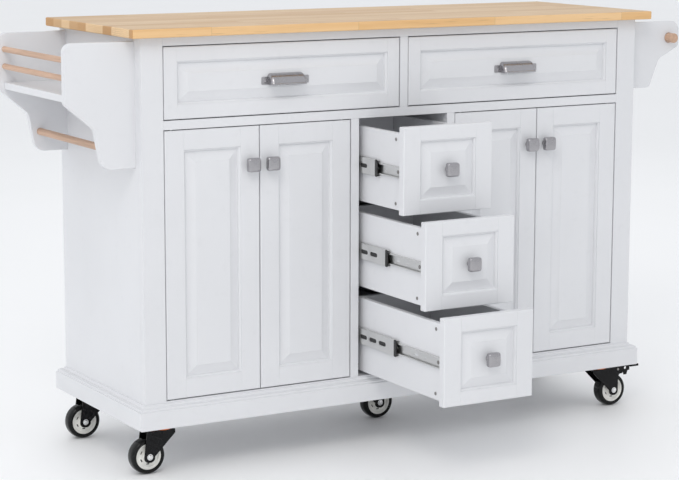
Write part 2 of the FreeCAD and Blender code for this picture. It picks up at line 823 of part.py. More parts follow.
def cup_pull(label, x, y, z):
    """A bin pull: a quarter-round shell, open below, with a screw tab at each end."""
    half = c["pull_length"] / 2
    wall = c["pull_wall"]
    reach = c["pull_reach"]
    shell = doc.addObject("Part::Cylinder", label + "_outside")
    bind(shell, Radius=reach, Height=half * 2)
    shell.Angle = 90
    hollow = doc.addObject("Part::Cylinder", label + "_inside")
    bind(hollow, Radius=reach - wall, Height=half * 2 - wall * 2)
    hollow.Angle = 90
    # a quarter from straight up round to straight out, in the pull's own frame: out is +Z, up is +Y
    quarter = FreeCAD.Rotation(Y_AXIS, 90) * FreeCAD.Rotation(Z_AXIS, 90)
    place(shell, -half, 0, 0, quarter)
    place(hollow, -half + wall, 0, 0, quarter)
    cup = cut(label + "_cup", shell, hollow)
    tabs = []
    for side, start in (("left", -half - c["pull_tab_length"]), ("right", half)):
        end = start + c["pull_tab_length"]
        tab = box(f"{label}_tab_{side}", (start, end), (Size(0), c["pull_tab_height"]), (Size(0), wall))
        tabs.append(tab)
    node(place(fuse(label, [cup] + tabs), x, y, z, FACING_FRONT), label)


def drawer(name):
    place_of = DRAWERS[name]
    label = f"drawer_{name}"
    in_bay = name.startswith("bay")
    left, right = place_of["opening"]
    x = (left + c["reveal"], right - c["reveal"])
    y = FRONT - place_of["open"]
    low, high = place_of["z"]
    stile = c["bay_front_stile"] if in_bay else c["top_front_border"]
    rail = c["bay_front_rail"] if in_bay else c["top_front_border"]
    pieces = panel_solids(f"{label}_face", x, y, (low, high), stile, rail)
    pieces.append(plain_stile(f"{label}_stile_left", (x[0], x[0] + stile), y, (low, high)))
    pieces.append(plain_stile(f"{label}_stile_right", (x[1] - stile, x[1]), y, (low, high)))
    node(group(f"{label}_front", pieces), f"{label}_front")
    drawer_box(name, f"{label}_box")
    drawer_slide(name, f"{label}_slide")
    middle = (x[0] + x[1]) / 2
    # both handles stand on the raised field
    face = y + c["field_sink"]
    if in_bay:
        knob(f"{label}_knob", middle, face, (low + high) / 2)
    else:
        cup_pull(f"{label}_pull", middle, face, TOP_OPENING_TOP - c["pull_drop"] - c["pull_reach"])


# ---------------------------------------------------------------- side racks

RACK_FRONT = FRONT + c["rack_front_inset"]
RACK_BACK = BACK - c["rack_back_inset"]
BRACKETS = {
    "front": (RACK_FRONT, RACK_FRONT + c["rack_bracket_thick"]),
    "back": (RACK_BACK - c["rack_bracket_thick"], RACK_BACK),
}


def dowel(name, radius, x, z, overrun):
    """A round rail along Y, from the brackets' inner faces on by overrun at each end."""
    start = BRACKETS["front"][1] - overrun
    end = BRACKETS["back"][0] + overrun
    return rod(name, "y", radius, end - start, x, start, z)


def spice_rack():
    foot = WORKTOP_UNDER - c["spice_drop"] - c["spice_height"]
    top = foot + c["spice_height"]
    points = [
        (LEFT, top),
        (LEFT - c["rack_reach"], top),
        (LEFT - c["rack_reach"], foot + c["spice_lip_height"]),
        (LEFT - c["spice_step_reach"], foot + c["spice_step_height"]),
        (LEFT - c["spice_foot_reach"], foot),
        (LEFT, foot),
    ]
    curve = c["spice_curve_round"]
    rounds = {1: c["spice_nose_round"], 2: c["rack_lip_round"], 3: curve, 4: curve}
    rails = {
        "guard_upper": (c["guard_radius"], c["guard_reach"], c["guard_upper_rise"]),
        "guard_lower": (c["guard_radius"], c["guard_reach"], c["guard_lower_rise"]),
        "towel_dowel": (c["towel_dowel_radius"], c["towel_dowel_reach"], c["towel_dowel_rise"]),
    }
    dowels = []
    holes = []
    for name, (radius, reach, rise) in rails.items():
        dowels.append(dowel(name, radius, LEFT - reach, foot + rise, c["dowel_seat"]))
        holes.append(dowel(f"{name}_hole", radius + c["fit_gap"], LEFT - reach, foot + rise, c["dowel_seat"]))
    hole_tool = fuse("spice_rack_holes", holes)
    brackets = []
    for end, (low, high) in BRACKETS.items():
        blank = sheet_plate(f"spice_bracket_{end}_blank", points, rounds, low, high)
        brackets.append(cut(f"spice_bracket_{end}", blank, hole_tool))
    node(group("spice_rack_brackets", brackets), "spice_rack_brackets")
    shelf_low = foot + c["spice_shelf_rise"]
    shelf = box(
        "spice_rack_shelf",
        (LEFT - c["spice_shelf_reach"], LEFT),
        (BRACKETS["front"][1], BRACKETS["back"][0]),
        (shelf_low, shelf_low + c["spice_shelf_thick"]),
    )
    node(shelf, "spice_rack_shelf")
    node(group("spice_rack_dowels", dowels), "spice_rack_dowels")


def towel_rack():
    foot = WORKTOP_UNDER - c["towel_drop"] - c["towel_height"]
    top = foot + c["towel_height"]
    points = [
        (RIGHT, top),
        (RIGHT + c["rack_reach"], top),
        (RIGHT + c["rack_reach"], foot + c["towel_lip_height"]),
        (RIGHT + c["towel_step_reach"], foot + c["towel_step_height"]),
        (RIGHT + c["towel_foot_reach"], foot),
        (RIGHT, foot),
    ]
    rounds = {
        1: c["towel_nose_round"],
        2: c["rack_lip_round"],
        3: c["towel_curve_round"],
        4: c["towel_foot_round"],
    }
    bar_place = (RIGHT + c["bar_reach"], foot + c["bar_rise"], c["rack_bracket_thick"] + c["bar_overrun"])
    hole = dowel("towel_bar_hole", c["bar_radius"] + c["fit_gap"], *bar_place)
    brackets = []
    for end, (low, high) in BRACKETS.items():
        blank = sheet_plate(f"towel_bracket_{end}_blank", points, rounds, low, high)
        brackets.append(cut(f"towel_bracket_{end}", blank, hole))
    node(group("towel_rack_brackets", brackets), "towel_rack_brackets")
    node(dowel("towel_bar", c["bar_radius"], *bar_place), "towel_bar")


# ---------------------------------------------------------------- casters

# each caster's swivel axis, the way its wheel trails, and whether it has a brake
CASTERS = {
    "front_left": (LEFT + c["caster_inset_side"], FRONT + c["caster_inset_front"], 180, False),
    "front_right": (RIGHT - c["caster_inset_side"], FRONT + c["caster_inset_front"], 0, True),
    "rear_left": (LEFT + c["caster_inset_side"], BACK - c["caster_inset_front"], 180, False),
    "rear_right": (RIGHT - c["caster_inset_side"], BACK - c["caster_inset_front"], 0, True),
    "centre": (c["centre_caster_offset"], (FRONT + BACK) / 2, 0, False),
}

FORK_TOP = UNDERSIDE - c["plate_thick"] - c["race_height"] - c["swivel_gap"]
FORK_OUTSIDE = c["fork_inside"] + c["fork_sheet"] * 2
PEDAL_PIVOT_X = c["caster_trail"] + c["pedal_pivot_reach"]
PEDAL_PIVOT_Z = UNDERSIDE - c["pedal_pivot_drop"]


def caster_rails():
    height = (UNDERSIDE, OPENING_FLOOR - c["board_thick"])
    depth = (FRAME_BACK, IN_BACK)
    width = c["rail_width"]
    middle = c["centre_caster_offset"]
    rails = [
        box("caster_rail_left", (IN_LEFT, IN_LEFT + width), depth, height),
        box("caster_rail_right", (IN_RIGHT - width, IN_RIGHT), depth, height),
        box("caster_rail_centre", (middle - width / 2, middle + width / 2), depth, height),
    ]
    node(group("caster_rails", rails), "caster_rails")


def caster_plates():
    plates = []
    half = c["plate_length"] / 2
    race_low = UNDERSIDE - c["plate_thick"] - c["race_height"]
    pin_low = race_low - c["kingpin_reach"]
    for name, (x, y, _, _) in CASTERS.items():
        plate = box(
            f"plate_{name}",
            (x - half, x + half),
            (y - half, y + half),
            (UNDERSIDE - c["plate_thick"], UNDERSIDE),
        )
        race = rod(f"race_{name}", "z", c["race_radius"], c["race_height"], x, y, race_low)
        kingpin = rod(f"kingpin_{name}", "z", c["kingpin_radius"], UNDERSIDE - pin_low, x, y, pin_low)
        plates.append(fuse(f"caster_plate_{name}", [plate, race, kingpin]))
    node(group("caster_plates", plates), "caster_plates")


def cross_rod(name, radius, half_length, x, z):
    """A rod along Y, the same length each side of y = 0."""
    return rod(name, "y", radius, half_length * 2, x, -half_length, z)


def fork(name, with_pedal):
    """The fork in its own frame: swivel axis at the origin, wheel trailing towards +X."""
    trail = c["caster_trail"]
    axle_z = c["wheel_radius"]
    cheek = c["fork_cheek"]
    outline = [
        (-c["fork_tail"], FORK_TOP),
        (-c["fork_tail"], FORK_TOP - c["fork_tail_height"]),
        (trail - cheek, axle_z),
        (trail - cheek, axle_z - cheek),
        (trail + cheek, axle_z - cheek),
    ]
    if with_pedal:
        ear_x = trail + c["fork_ear_reach"]
        ear_z = FORK_TOP - c["fork_ear_height"]
        outline += [
            (trail + cheek, ear_z - c["fork_tail_height"]),
            (ear_x, ear_z),
            (ear_x, FORK_TOP),
        ]
    else:
        outline += [
            (trail + cheek, axle_z),
            (trail + c["fork_top_reach"], FORK_TOP),
        ]
    inner = c["fork_inside"] / 2
    outer = FORK_OUTSIDE / 2
    rounds = {3: c["fork_foot_round"], 4: c["fork_foot_round"]}
    legs = [
        sheet_plate(f"{name}_leg_near", outline, rounds, -outer, -inner),
        sheet_plate(f"{name}_leg_far", outline, rounds, inner, outer),
    ]
    top_x = (-c["fork_tail"], trail)
    top = box(f"{name}_top", top_x, (-outer, outer), (FORK_TOP - c["fork_top_thick"], FORK_TOP))
    blank = fuse(f"{name}_blank", legs + [top])
    gap = c["fit_gap"]
    thick = c["fork_top_thick"]
    bore = rod(f"{name}_bore", "z", c["kingpin_radius"] + gap, thick * 3, 0, 0, FORK_TOP - thick * 2)
    axle_hole = cross_rod(f"{name}_axle_hole", c["axle_radius"] + gap, outer * 2, trail, axle_z)
    tools = [bore, axle_hole]
    shank = cross_rod(f"{name}_shank", c["axle_radius"], outer + c["axle_head_thick"], trail, axle_z)
    heads = []
    head_thick = c["axle_head_thick"]
    for end, start in (("near", -outer - head_thick), ("far", outer)):
        head = rod(f"{name}_axle_{end}", "y", c["axle_head_radius"], head_thick, trail, start, axle_z)
        heads.append(head)
    solids = [fuse(f"{name}_axle", [shank] + heads)]
    if with_pedal:
        radius = c["pedal_pivot_radius"]
        tools.append(cross_rod(f"{name}_pin_hole", radius + gap, outer * 2, PEDAL_PIVOT_X, PEDAL_PIVOT_Z))
        pin_half = outer + c["pedal_pin_overrun"]
        solids.append(cross_rod(f"{name}_pedal_pin", radius, pin_half, PEDAL_PIVOT_X, PEDAL_PIVOT_Z))
    frame = cut(f"{name}_frame", blank, fuse(f"{name}_tools", tools))
    return group(name, [frame] + solids)


def wheel(name):
    """Tyre and rim about Y, centred on the origin."""
    radius = c["wheel_radius"]
    rim = c["rim_radius"]
    tread = c["tread_width"] / 2
    tread_round = c["tread_round"]
    tyre_points = [
        (rim, -tread),
        (radius - tread_round, -tread),
        (radius, -tread + tread_round),
        (radius, tread - tread_round),
        (radius - tread_round, tread),
        (rim, tread),
    ]
    side = [
        (rim, c["rim_width"] / 2),
        (c["web_radius"], c["rim_width"] / 2),
        (c["web_radius"], c["web_width"] / 2),
        (c["hub_radius"], c["web_width"] / 2),
        (c["hub_radius"], c["hub_width"] / 2),
        (c["axle_radius"] + c["fit_gap"], c["hub_width"] / 2),
    ]
    mirrored = [(r, -along) for r, along in reversed(side)]
    return group(name, [turned(f"{name}_tyre", tyre_points), turned(f"{name}_rim", side + mirrored)])


def pedal(name):
    """The brake pedal in the fork's frame, held up off the tread."""
    x0, z0 = PEDAL_PIVOT_X, PEDAL_PIVOT_Z
    end = x0 + c["pedal_length"]
    pad_start = end - c["pedal_pad_length"]
    half = c["pedal_width"] / 2
    hub = c["pedal_hub_radius"]
    sheet_thick = c["pedal_sheet"]
    lug_x = x0 + c["pedal_lug_start"]
    lug = c["pedal_lug_length"]
    lug_z = z0 - c["pedal_lug_drop"]
    taper = c["pedal_lug_taper"]
    outline = [
        (x0, z0 + hub),
        (pad_start, z0 + hub),
        (pad_start, z0 - hub),
        (lug_x + lug, z0 - hub),
        (lug_x + lug - taper, lug_z),
        (lug_x + taper, lug_z),
        (lug_x, z0 - hub),
        (x0, z0 - hub),
    ]
    arm = sheet_plate(f"{name}_arm", outline, {}, -half, half)
    channel_low = z0 - c["wheel_radius"]
    inside = half - sheet_thick
    shoe_start = x0 + c["pedal_shoe_start"]
    shoe_end = shoe_start + c["pedal_shoe_length"]
    hollow_z = (channel_low, z0 + hub - sheet_thick)
    hollow = box(f"{name}_hollow", (shoe_start, end), (-inside, inside), hollow_z)
    pad_half = c["pedal_pad_width"] / 2
    pieces = [
        cut(f"{name}_channel", arm, hollow),
        cross_rod(f"{name}_hub", hub, half, x0, z0),
        box(f"{name}_shoe", (shoe_start, shoe_end), (-inside, inside), (z0 - c["pedal_shoe_drop"], z0 + hub)),
        box(f"{name}_pad", (pad_start, end), (-pad_half, pad_half), (z0 + hub - sheet_thick * 2, z0 + hub)),
    ]
    holes = [
        cross_rod(f"{name}_pivot_hole", c["pedal_pivot_radius"] + c["fit_gap"], half * 2, x0, z0),
        cross_rod(f"{name}_eye", c["pedal_eye_radius"], half * 2, lug_x + lug / 2, z0),
    ]
    return cut(name, fuse(f"{name}_blank", pieces), fuse(f"{name}_holes", holes))


def casters():
    for name, (x, y, turn, braked) in CASTERS.items():
        label = f"caster_{name}"
        facing = FreeCAD.Rotation(Z_AXIS, turn)
        way = -1 if turn == 180 else 1
        node(place(fork(f"{label}_fork", braked), x, y, 0, facing), f"{label}_fork")
        axle_x = x + c["caster_trail"] * way
        node(place(wheel(f"{label}_wheel"), axle_x, y, c["wheel_radius"], facing), f"{label}_wheel")
        if braked:
            node(place(pedal(f"{label}_pedal"), x, y, 0, facing), f"{label}_pedal")


# ---------------------------------------------------------------- the cart


def build():
    worktop()
    side_panels()
    bay_partitions()
    inside_boards()
    face_frame()
    plinth()
    cupboard_shelves()
    caster_rails()
    caster_plates()
    spice_rack()
    towel_rack()
    slide_outer_members()
    for label in DOOR_EDGES:
        door(label)
    for name in DRAWERS:
        drawer(name)
    casters()


def check():
    """Stop if any object failed or any sub-part has no sound solid."""
    for thing in doc.Objects:
        if "Invalid" in thing.State or "Error" in thing.State:
            raise RuntimeError(f"{thing.Name} failed: {thing.State}")
    for thing in nodes:
        if thing.Shape.isNull() or not thing.Shape.isValid():
            raise RuntimeError(f"{thing.Label} has no sound shape")


build()
doc.recompute()
check()
os.makedirs("parts", exist_ok=True)
for thing in nodes:
    thing.Shape.exportStep(f"parts/{thing.Label}.step")
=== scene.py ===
"""Finished looks of a kitchen island cart: joinery, hardware, slides, racks, casters and their finishes."""
import json
import math

import bmesh
import bpy
from bpy.props import FloatProperty, FloatVectorProperty, PointerProperty
from mathutils import Matrix, Vector


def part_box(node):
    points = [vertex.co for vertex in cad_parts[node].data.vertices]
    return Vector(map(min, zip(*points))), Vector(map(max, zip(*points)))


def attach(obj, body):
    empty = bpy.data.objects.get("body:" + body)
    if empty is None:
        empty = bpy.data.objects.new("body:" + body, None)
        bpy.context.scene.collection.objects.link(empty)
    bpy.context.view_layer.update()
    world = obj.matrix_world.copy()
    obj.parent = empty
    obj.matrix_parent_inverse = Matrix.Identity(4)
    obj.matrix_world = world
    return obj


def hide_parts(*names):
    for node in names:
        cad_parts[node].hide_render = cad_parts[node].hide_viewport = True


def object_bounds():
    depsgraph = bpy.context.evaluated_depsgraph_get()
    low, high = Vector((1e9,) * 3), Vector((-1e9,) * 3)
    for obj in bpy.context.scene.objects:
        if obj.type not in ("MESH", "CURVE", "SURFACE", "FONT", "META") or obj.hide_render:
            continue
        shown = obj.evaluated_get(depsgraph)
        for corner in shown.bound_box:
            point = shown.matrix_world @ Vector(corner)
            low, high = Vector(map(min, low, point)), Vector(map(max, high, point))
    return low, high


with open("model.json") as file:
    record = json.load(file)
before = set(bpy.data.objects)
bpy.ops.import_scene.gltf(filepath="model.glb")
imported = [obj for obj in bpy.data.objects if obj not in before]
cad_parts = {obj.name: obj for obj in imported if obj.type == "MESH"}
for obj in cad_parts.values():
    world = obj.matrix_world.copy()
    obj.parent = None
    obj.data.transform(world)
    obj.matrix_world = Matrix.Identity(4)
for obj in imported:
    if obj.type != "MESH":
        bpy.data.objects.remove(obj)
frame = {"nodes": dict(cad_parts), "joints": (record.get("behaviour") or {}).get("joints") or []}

bl_info = {
    "name": "Kitchen Island Cart",
    "version": (1, 0, 0),
    "blender": (4, 5, 0),
    "location": "View3D > Sidebar > Island Cart",
    "description": "Builds the cart's joinery, hardware and casters around its CAD frame",
    "category": "Object",
}

CAD_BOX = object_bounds()
JOINTS = {joint["name"]: joint for joint in frame["joints"]}

# levels and faces of the cabinet, taken from the frame
FRAME_LOW, FRAME_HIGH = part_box("face_frame")
WORKTOP_LOW, WORKTOP_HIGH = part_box("worktop")
DECK_LOW, DECK_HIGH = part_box("drawer_deck")
FLOOR_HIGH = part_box("bottom_board")[1]
BACK_LOW, BACK_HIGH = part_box("back_panel")
PARTITION_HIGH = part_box("bay_partitions")[1]
PLINTH_LOW, PLINTH_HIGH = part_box("plinth")

DOORS = ("left_outer", "left_inner", "right_inner", "right_outer")
TOP_DRAWERS = ("left", "right")
BAY_DRAWERS = ("bay_top", "bay_middle", "bay_bottom")
CASTERS = ("front_left", "front_right", "rear_left", "rear_right", "centre")
BRAKED = ("front_right", "rear_right")

# degrees: small enough to keep the line where a panel's slope meets its field
PANEL_CREASE = 16.0


# ------------------------------------------------------------------ what a user would change


def size(name, description, default):
    return FloatProperty(
        name=name, description=description, default=default, min=0.0, subtype="DISTANCE", unit="LENGTH"
    )


def colour(name, description, default):
    return FloatVectorProperty(
        name=name, description=description, default=default, size=3, min=0.0, max=1.0, subtype="COLOR"
    )


class CartJoinery(bpy.types.PropertyGroup):
    """Sizes of the painted woodwork"""

    edge_round: size("Edge round", "Softened edge of every painted board", 0.0010)
    joint_ease: size("Joint ease", "Eased edge that shows each joint as a fine line", 0.0005)
    worktop_round: size("Worktop round", "Softened edge of the worktop", 0.0025)
    pivot_radius: size("Pivot radius", "Radius of a door's pivot pins", 0.003)
    post_width: size("Post width", "Face frame post at each end", 0.048)
    stile_width: size("Bay stile width", "Face frame stile beside the drawer bay", 0.019)
    top_rail: size("Top rail", "Height of the rail under the worktop", 0.018)
    reveal: size("Reveal", "Gap between a door or drawer and the face frame", 0.002)
    door_stile: size("Door stile", "Width of a door's upright members", 0.043)
    door_rail: size("Door rail", "Height of a door's cross members", 0.040)
    bay_stile: size("Bay front stile", "Width of a bay drawer front's upright members", 0.040)
    bay_rail: size("Bay front rail", "Height of a bay drawer front's cross members", 0.029)
    top_border: size("Top front border", "Width of the frame of a top drawer front", 0.029)
    bead: size("Bead", "Moulded inner edge of a door or drawer frame", 0.0045)
    groove: size("Groove", "Depth of the groove round a raised panel", 0.0078)
    bevel: size("Panel bevel", "Width of a raised panel's slope", 0.019)
    box_wall: size("Box wall", "Thickness of a drawer box's walls", 0.012)
    box_floor: size("Box floor", "Thickness of a drawer box's floor", 0.005)
    box_floor_rise: size("Box floor rise", "Height of a drawer box's floor above its lower edge", 0.008)
    fascia: size("Plinth fascia", "Height of the plinth's flat face", 0.038)


class CartRacks(bpy.types.PropertyGroup):
    """Sizes of the two side racks"""

    edge_round: size("Bracket edge", "Softened edge of every rack bracket", 0.0018)
    guard_radius: size("Guard radius", "Radius of the two guard dowels", 0.006)
    guard_reach: size("Guard reach", "How far the guard dowels stand out from the cabinet", 0.138)
    upper_guard_rise: size("Upper guard", "Height of the upper guard dowel above the brackets' feet", 0.219)
    lower_guard_rise: size("Lower guard", "Height of the lower guard dowel above the brackets' feet", 0.183)
    lower_radius: size("Towel dowel radius", "Radius of the spice rack's towel dowel", 0.0075)
    lower_reach: size("Towel dowel reach", "How far the towel dowel stands out from the cabinet", 0.062)
    lower_rise: size("Towel dowel height", "Height of the towel dowel above the brackets' feet", 0.042)
    bar_end_round: size("Bar end", "Rounded ends of the towel rack's bar", 0.0015)


class CartSlides(bpy.types.PropertyGroup):
    """Sizes of the drawer slides"""

    sheet: size("Slide sheet", "Thickness of the rolled steel", 0.0012)
    outer_height: size("Outer height", "Height of the cabinet's member", 0.045)
    outer_width: size("Outer width", "How far the cabinet's member stands out", 0.0095)
    middle_height: size("Middle height", "Height of the middle member", 0.035)
    middle_start: size("Middle start", "Gap from the cabinet's wall to the middle member", 0.004)
    middle_width: size("Middle width", "Depth of the middle member", 0.007)
    inner_height: size("Inner height", "Height of the drawer's member", 0.024)
    inner_width: size("Inner width", "How far the drawer's member stands out", 0.0062)


class CartHardware(bpy.types.PropertyGroup):
    """Sizes of the cup pulls"""

    pull_wall: size("Pull wall", "Thickness of a cup pull's shell", 0.0018)
    pull_shoulder: size("Pull shoulder", "Radius of a cup pull's rounded ends", 0.007)
    tab_length: size("Tab length", "Length of a cup pull's screw tab", 0.014)
    tab_height: size("Tab height", "Height of a cup pull's screw tab", 0.016)


class CartCasters(bpy.types.PropertyGroup):
    """Sizes of the five casters"""

    plate_length: size("Plate length", "Side of the square fixing plate", 0.060)
    plate_thick: size("Plate thickness", "Thickness of the fixing plate", 0.003)
    race_radius: size("Race radius", "Radius of the swivel race", 0.022)
    race_height: size("Race height", "Height of the swivel race and its dust ring", 0.009)
    fork_inside: size("Fork inside", "Gap between a fork's cheeks", 0.032)
    fork_sheet: size("Fork sheet", "Thickness of a fork's cheeks", 0.0025)
    tread_width: size("Tread width", "Width of a tyre", 0.028)
    rim_radius: size("Rim radius", "Radius of a rim", 0.028)
    rim_width: size("Rim width", "Width of a rim", 0.025)
    hub_radius: size("Hub radius", "Radius of the hub's raised ring", 0.012)
    brake_pin_radius: size("Brake pin radius", "Radius of a brake pedal's pivot pin", 0.003)


class CartFinishes(bpy.types.PropertyGroup):
    """Colours of the cart's finishes"""

    paint: colour("Paint", "Satin white paint", (0.765, 0.77, 0.79))
    wood_pale: colour("Pale stave", "Lightest stave of the worktop", (0.76, 0.54, 0.31))
    wood_warm: colour("Warm stave", "Darkest stave of the worktop", (0.60, 0.35, 0.14))
    end_grain: colour("End grain", "Sawn ends of the worktop's staves", (0.74, 0.41, 0.17))
    dowel: colour("Dowel wood", "Pinkish wood of the rack dowels", (0.66, 0.43, 0.30))
    nickel: colour("Nickel", "Knobs and pulls", (0.42, 0.41, 0.425))
    zinc: colour("Zinc", "Drawer slides", (0.74, 0.74, 0.73))
    enamel: colour("Enamel", "Black caster forks", (0.006, 0.006, 0.007))
    tread: colour("Tread", "Black caster tyres", (0.006, 0.006, 0.006))
    rim: colour("Rim", "Ivory caster rims", (0.93, 0.92, 0.88))
    ring: colour("Dust ring", "Orange ring under the caster plate", (0.90, 0.22, 0.04))
    moulded_black: colour("Black plastic", "Slide bumpers and ball cages", (0.014, 0.014, 0.014))


class CartStage(bpy.types.PropertyGroup):
    """Floor, light and camera"""

    floor: colour("Floor", "Pale studio floor", (0.985, 0.985, 0.985))
    sky: FloatProperty(
        name="Sky", description="Strength of the soft white surround", default=0.95, min=0.0
    )
    key: FloatProperty(
        name="Key light",
        description="Power of the large light over the front",
        default=46.0,
        unit="POWER",
    )
    side: FloatProperty(
        name="Side light", description="Power of the light on the left end", default=6.0, unit="POWER"
    )
    rim_light: FloatProperty(
        name="Back light", description="Power of the light behind", default=10.0, unit="POWER"
    )
    turn: FloatProperty(
        name="Turn",
        description="Camera's turn from square on",
        default=math.radians(30.07),
        subtype="ANGLE",
    )
    tilt: FloatProperty(
        name="Tilt", description="Camera's downward tilt", default=math.radians(9.59), subtype="ANGLE"
    )
    roll: FloatProperty(
        name="Roll", description="Camera's roll", default=math.radians(0.12), subtype="ANGLE"
    )
    lens: FloatProperty(
        name="Lens", description="Focal length in millimetres", default=113.06, unit="CAMERA"
    )
    rise: FloatProperty(name="Frame rise", description="Vertical shift of the frame", default=0.0)
    slide: FloatProperty(name="Frame slide", description="Sideways shift of the frame", default=0.0)
    eye: FloatVectorProperty(
        name="Eye",
        description="Where the camera stands",
        default=(-2.3775, -3.8692, 1.2047),
        unit="LENGTH",
    )


# ------------------------------------------------------------------ mesh work


def mesh_piece(name, bm, materials, smooth_angle=35.0):
    """Turn a bmesh into an object at the origin: wide faces shade flat, rounds shade smooth."""
    bmesh.ops.recalc_face_normals(bm, faces=bm.faces)
    mesh = bpy.data.meshes.new(name)
    bm.to_mesh(mesh)
    bm.free()
    for material in materials:
        mesh.materials.append(material)
    mesh.shade_smooth()
    mesh.set_sharp_from_angle(angle=math.radians(smooth_angle))
    piece = bpy.data.objects.new(name, mesh)
    bpy.context.scene.collection.objects.link(piece)
    weighted = piece.modifiers.new("Even shading", "WEIGHTED_NORMAL")
    weighted.keep_sharp = True
    return piece


def fit(piece, body, slot, *nodes):
    """Ride on a body and stand for CAD nodes."""
    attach(piece, body)
    if nodes:
        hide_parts(*nodes)
    return piece


def add_piece(name, bm, look, body, slot, *nodes, smooth_angle=35.0):
    """A mesh in one finish, fitted to its body."""
    fit(mesh_piece(name, bm, [finishes()[look]], smooth_angle), body, slot, *nodes)


def add_box(bm, low, high, edge=0.0, steps=2):
    """A box with rounded edges, as part of bm."""
    made = bmesh.ops.create_cube(bm, size=1.0)
    middle = (Vector(low) + Vector(high)) / 2
    span = Vector(high) - Vector(low)
    for vert in made["verts"]:
        vert.co = Vector((vert.co.x * span.x, vert.co.y * span.y, vert.co.z * span.z)) + middle
    if edge > 0:
        edges = list({e for v in made["verts"] for e in v.link_edges})
        bmesh.ops.bevel(bm, geom=edges, offset=edge, segments=steps, profile=0.5, affect="EDGES")


def board(name, low, high, material, edge):
    """A sawn board with softened edges."""
    bm = bmesh.new()
    add_box(bm, low, high, edge)
    return mesh_piece(name, bm, [material])


def spin(bm, profile, axis="y", centre=(0, 0, 0), steps=48, material_index=0):
    """Turn a profile of (radius, along) points about an axis through centre; ends at radius 0 close up."""
    turn = {
        "x": Matrix(((0, 0, 1), (1, 0, 0), (0, 1, 0))),
        "y": Matrix(((1, 0, 0), (0, 0, 1), (0, -1, 0))),
        "z": Matrix.Identity(3),
    }[axis]
    middle = Vector(centre)
    closed = profile[0] == profile[-1]
    rings = []
    for radius, along in profile[:-1] if closed else profile:
        if radius < 1e-7:
            rings.append([bm.verts.new(turn @ Vector((0, 0, along)) + middle)])
            continue
        ring = []
        for step in range(steps):
            angle = math.tau * step / steps
            point = Vector((radius * math.cos(angle), radius * math.sin(angle), along))
            ring.append(bm.verts.new(turn @ point + middle))
        rings.append(ring)
    if closed:
        rings.append(rings[0])
    for lower, upper in zip(rings, rings[1:]):
        for step in range(steps):
            after = (step + 1) % steps
            if len(lower) == 1 and len(upper) == 1:
                continue
            if len(lower) == 1:
                face = bm.faces.new((lower[0], upper[step], upper[after]))
            elif len(upper) == 1:
                face = bm.faces.new((lower[step], lower[after], upper[0]))
            else:
                face = bm.faces.new((lower[step], lower[after], upper[after], upper[step]))
            face.material_index = material_index


def rod_profile(radius, start, end, edge):
    """Outline of a rod with rounded ends."""
    points = [(0.0, start)]
    for step in range(4):
        angle = math.pi / 2 * step / 3
        points.append((radius - edge + edge * math.sin(angle), start + edge - edge * math.cos(angle)))
    for step in range(4):
        angle = math.pi / 2 * step / 3
        points.append((radius - edge + edge * math.cos(angle), end - edge + edge * math.sin(angle)))
    points.append((0.0, end))
    return points


def rounded_outline(points, radii, steps=8):
    """A closed outline with an arc in place of each corner that has a radius."""
    outline = []
    count = len(points)
    for index, corner in enumerate(points):
        corner = Vector(corner)
        radius = radii.get(index, 0.0)
        if radius <= 0:
            outline.append(corner)
            continue
        before = (Vector(points[index - 1]) - corner).normalized()
        after = (Vector(points[(index + 1) % count]) - corner).normalized()
        half = before.angle(after) / 2
        centre = corner + (before + after).normalized() * (radius / math.sin(half))
        start = corner + before * (radius / math.tan(half)) - centre
        end = corner + after * (radius / math.tan(half)) - centre
        sweep = start.angle_signed(end)
        for step in range(steps + 1):
            turn = Matrix.Rotation(-sweep * step / steps, 2)
            outline.append(centre + turn @ start)
    return outline


def circle(x, z, radius, steps=16):
    angles = [math.tau * step / steps for step in range(steps)]
    return [Vector((x + radius * math.cos(angle), z + radius * math.sin(angle))) for angle in angles]


def add_plate(bm, outline, low, high, holes=(), edge=0.0, steps=2, axes="xz"):
    """A flat plate cut to an outline, with holes, standing in the XZ, YZ or XY plane, as part of bm."""

    def point(flat, depth):
        if axes == "xz":
            return Vector((flat.x, depth, flat.y))
        if axes == "yz":
            return Vector((depth, flat.x, flat.y))
        return Vector((flat.x, flat.y, depth))

    rim = []
    for loop in [outline, *holes]:
        verts = [bm.verts.new(point(p, low)) for p in loop]
        for start, end in zip(verts, verts[1:] + verts[:1]):
            rim.append(bm.edges.new((start, end)))
    filled = bmesh.ops.triangle_fill(bm, use_beauty=True, use_dissolve=False, edges=rim)
    faces = [g for g in filled["geom"] if isinstance(g, bmesh.types.BMFace)]
    grown = bmesh.ops.extrude_face_region(bm, geom=faces, use_keep_orig=True)
    verts = [g for g in grown["geom"] if isinstance(g, bmesh.types.BMVert)]
    bmesh.ops.translate(bm, verts=verts, vec=point(Vector((0, 0)), high) - point(Vector((0, 0)), low))
    if edge > 0:
        bm.edges.ensure_lookup_table()
        moved = set(verts)
        kept = {v for e in rim for v in e.verts}
        sharp = [e for e in bm.edges if len(e.link_faces) == 2 and e.calc_face_angle(0) > math.radians(50)]
        sharp = [e for e in sharp if (e.verts[0] in moved) == (e.verts[1] in moved)]
        sharp = [e for e in sharp if e.verts[0] in moved or e.verts[0] in kept]
        bmesh.ops.bevel(bm, geom=sharp, offset=edge, segments=steps, profile=0.5, affect="EDGES")


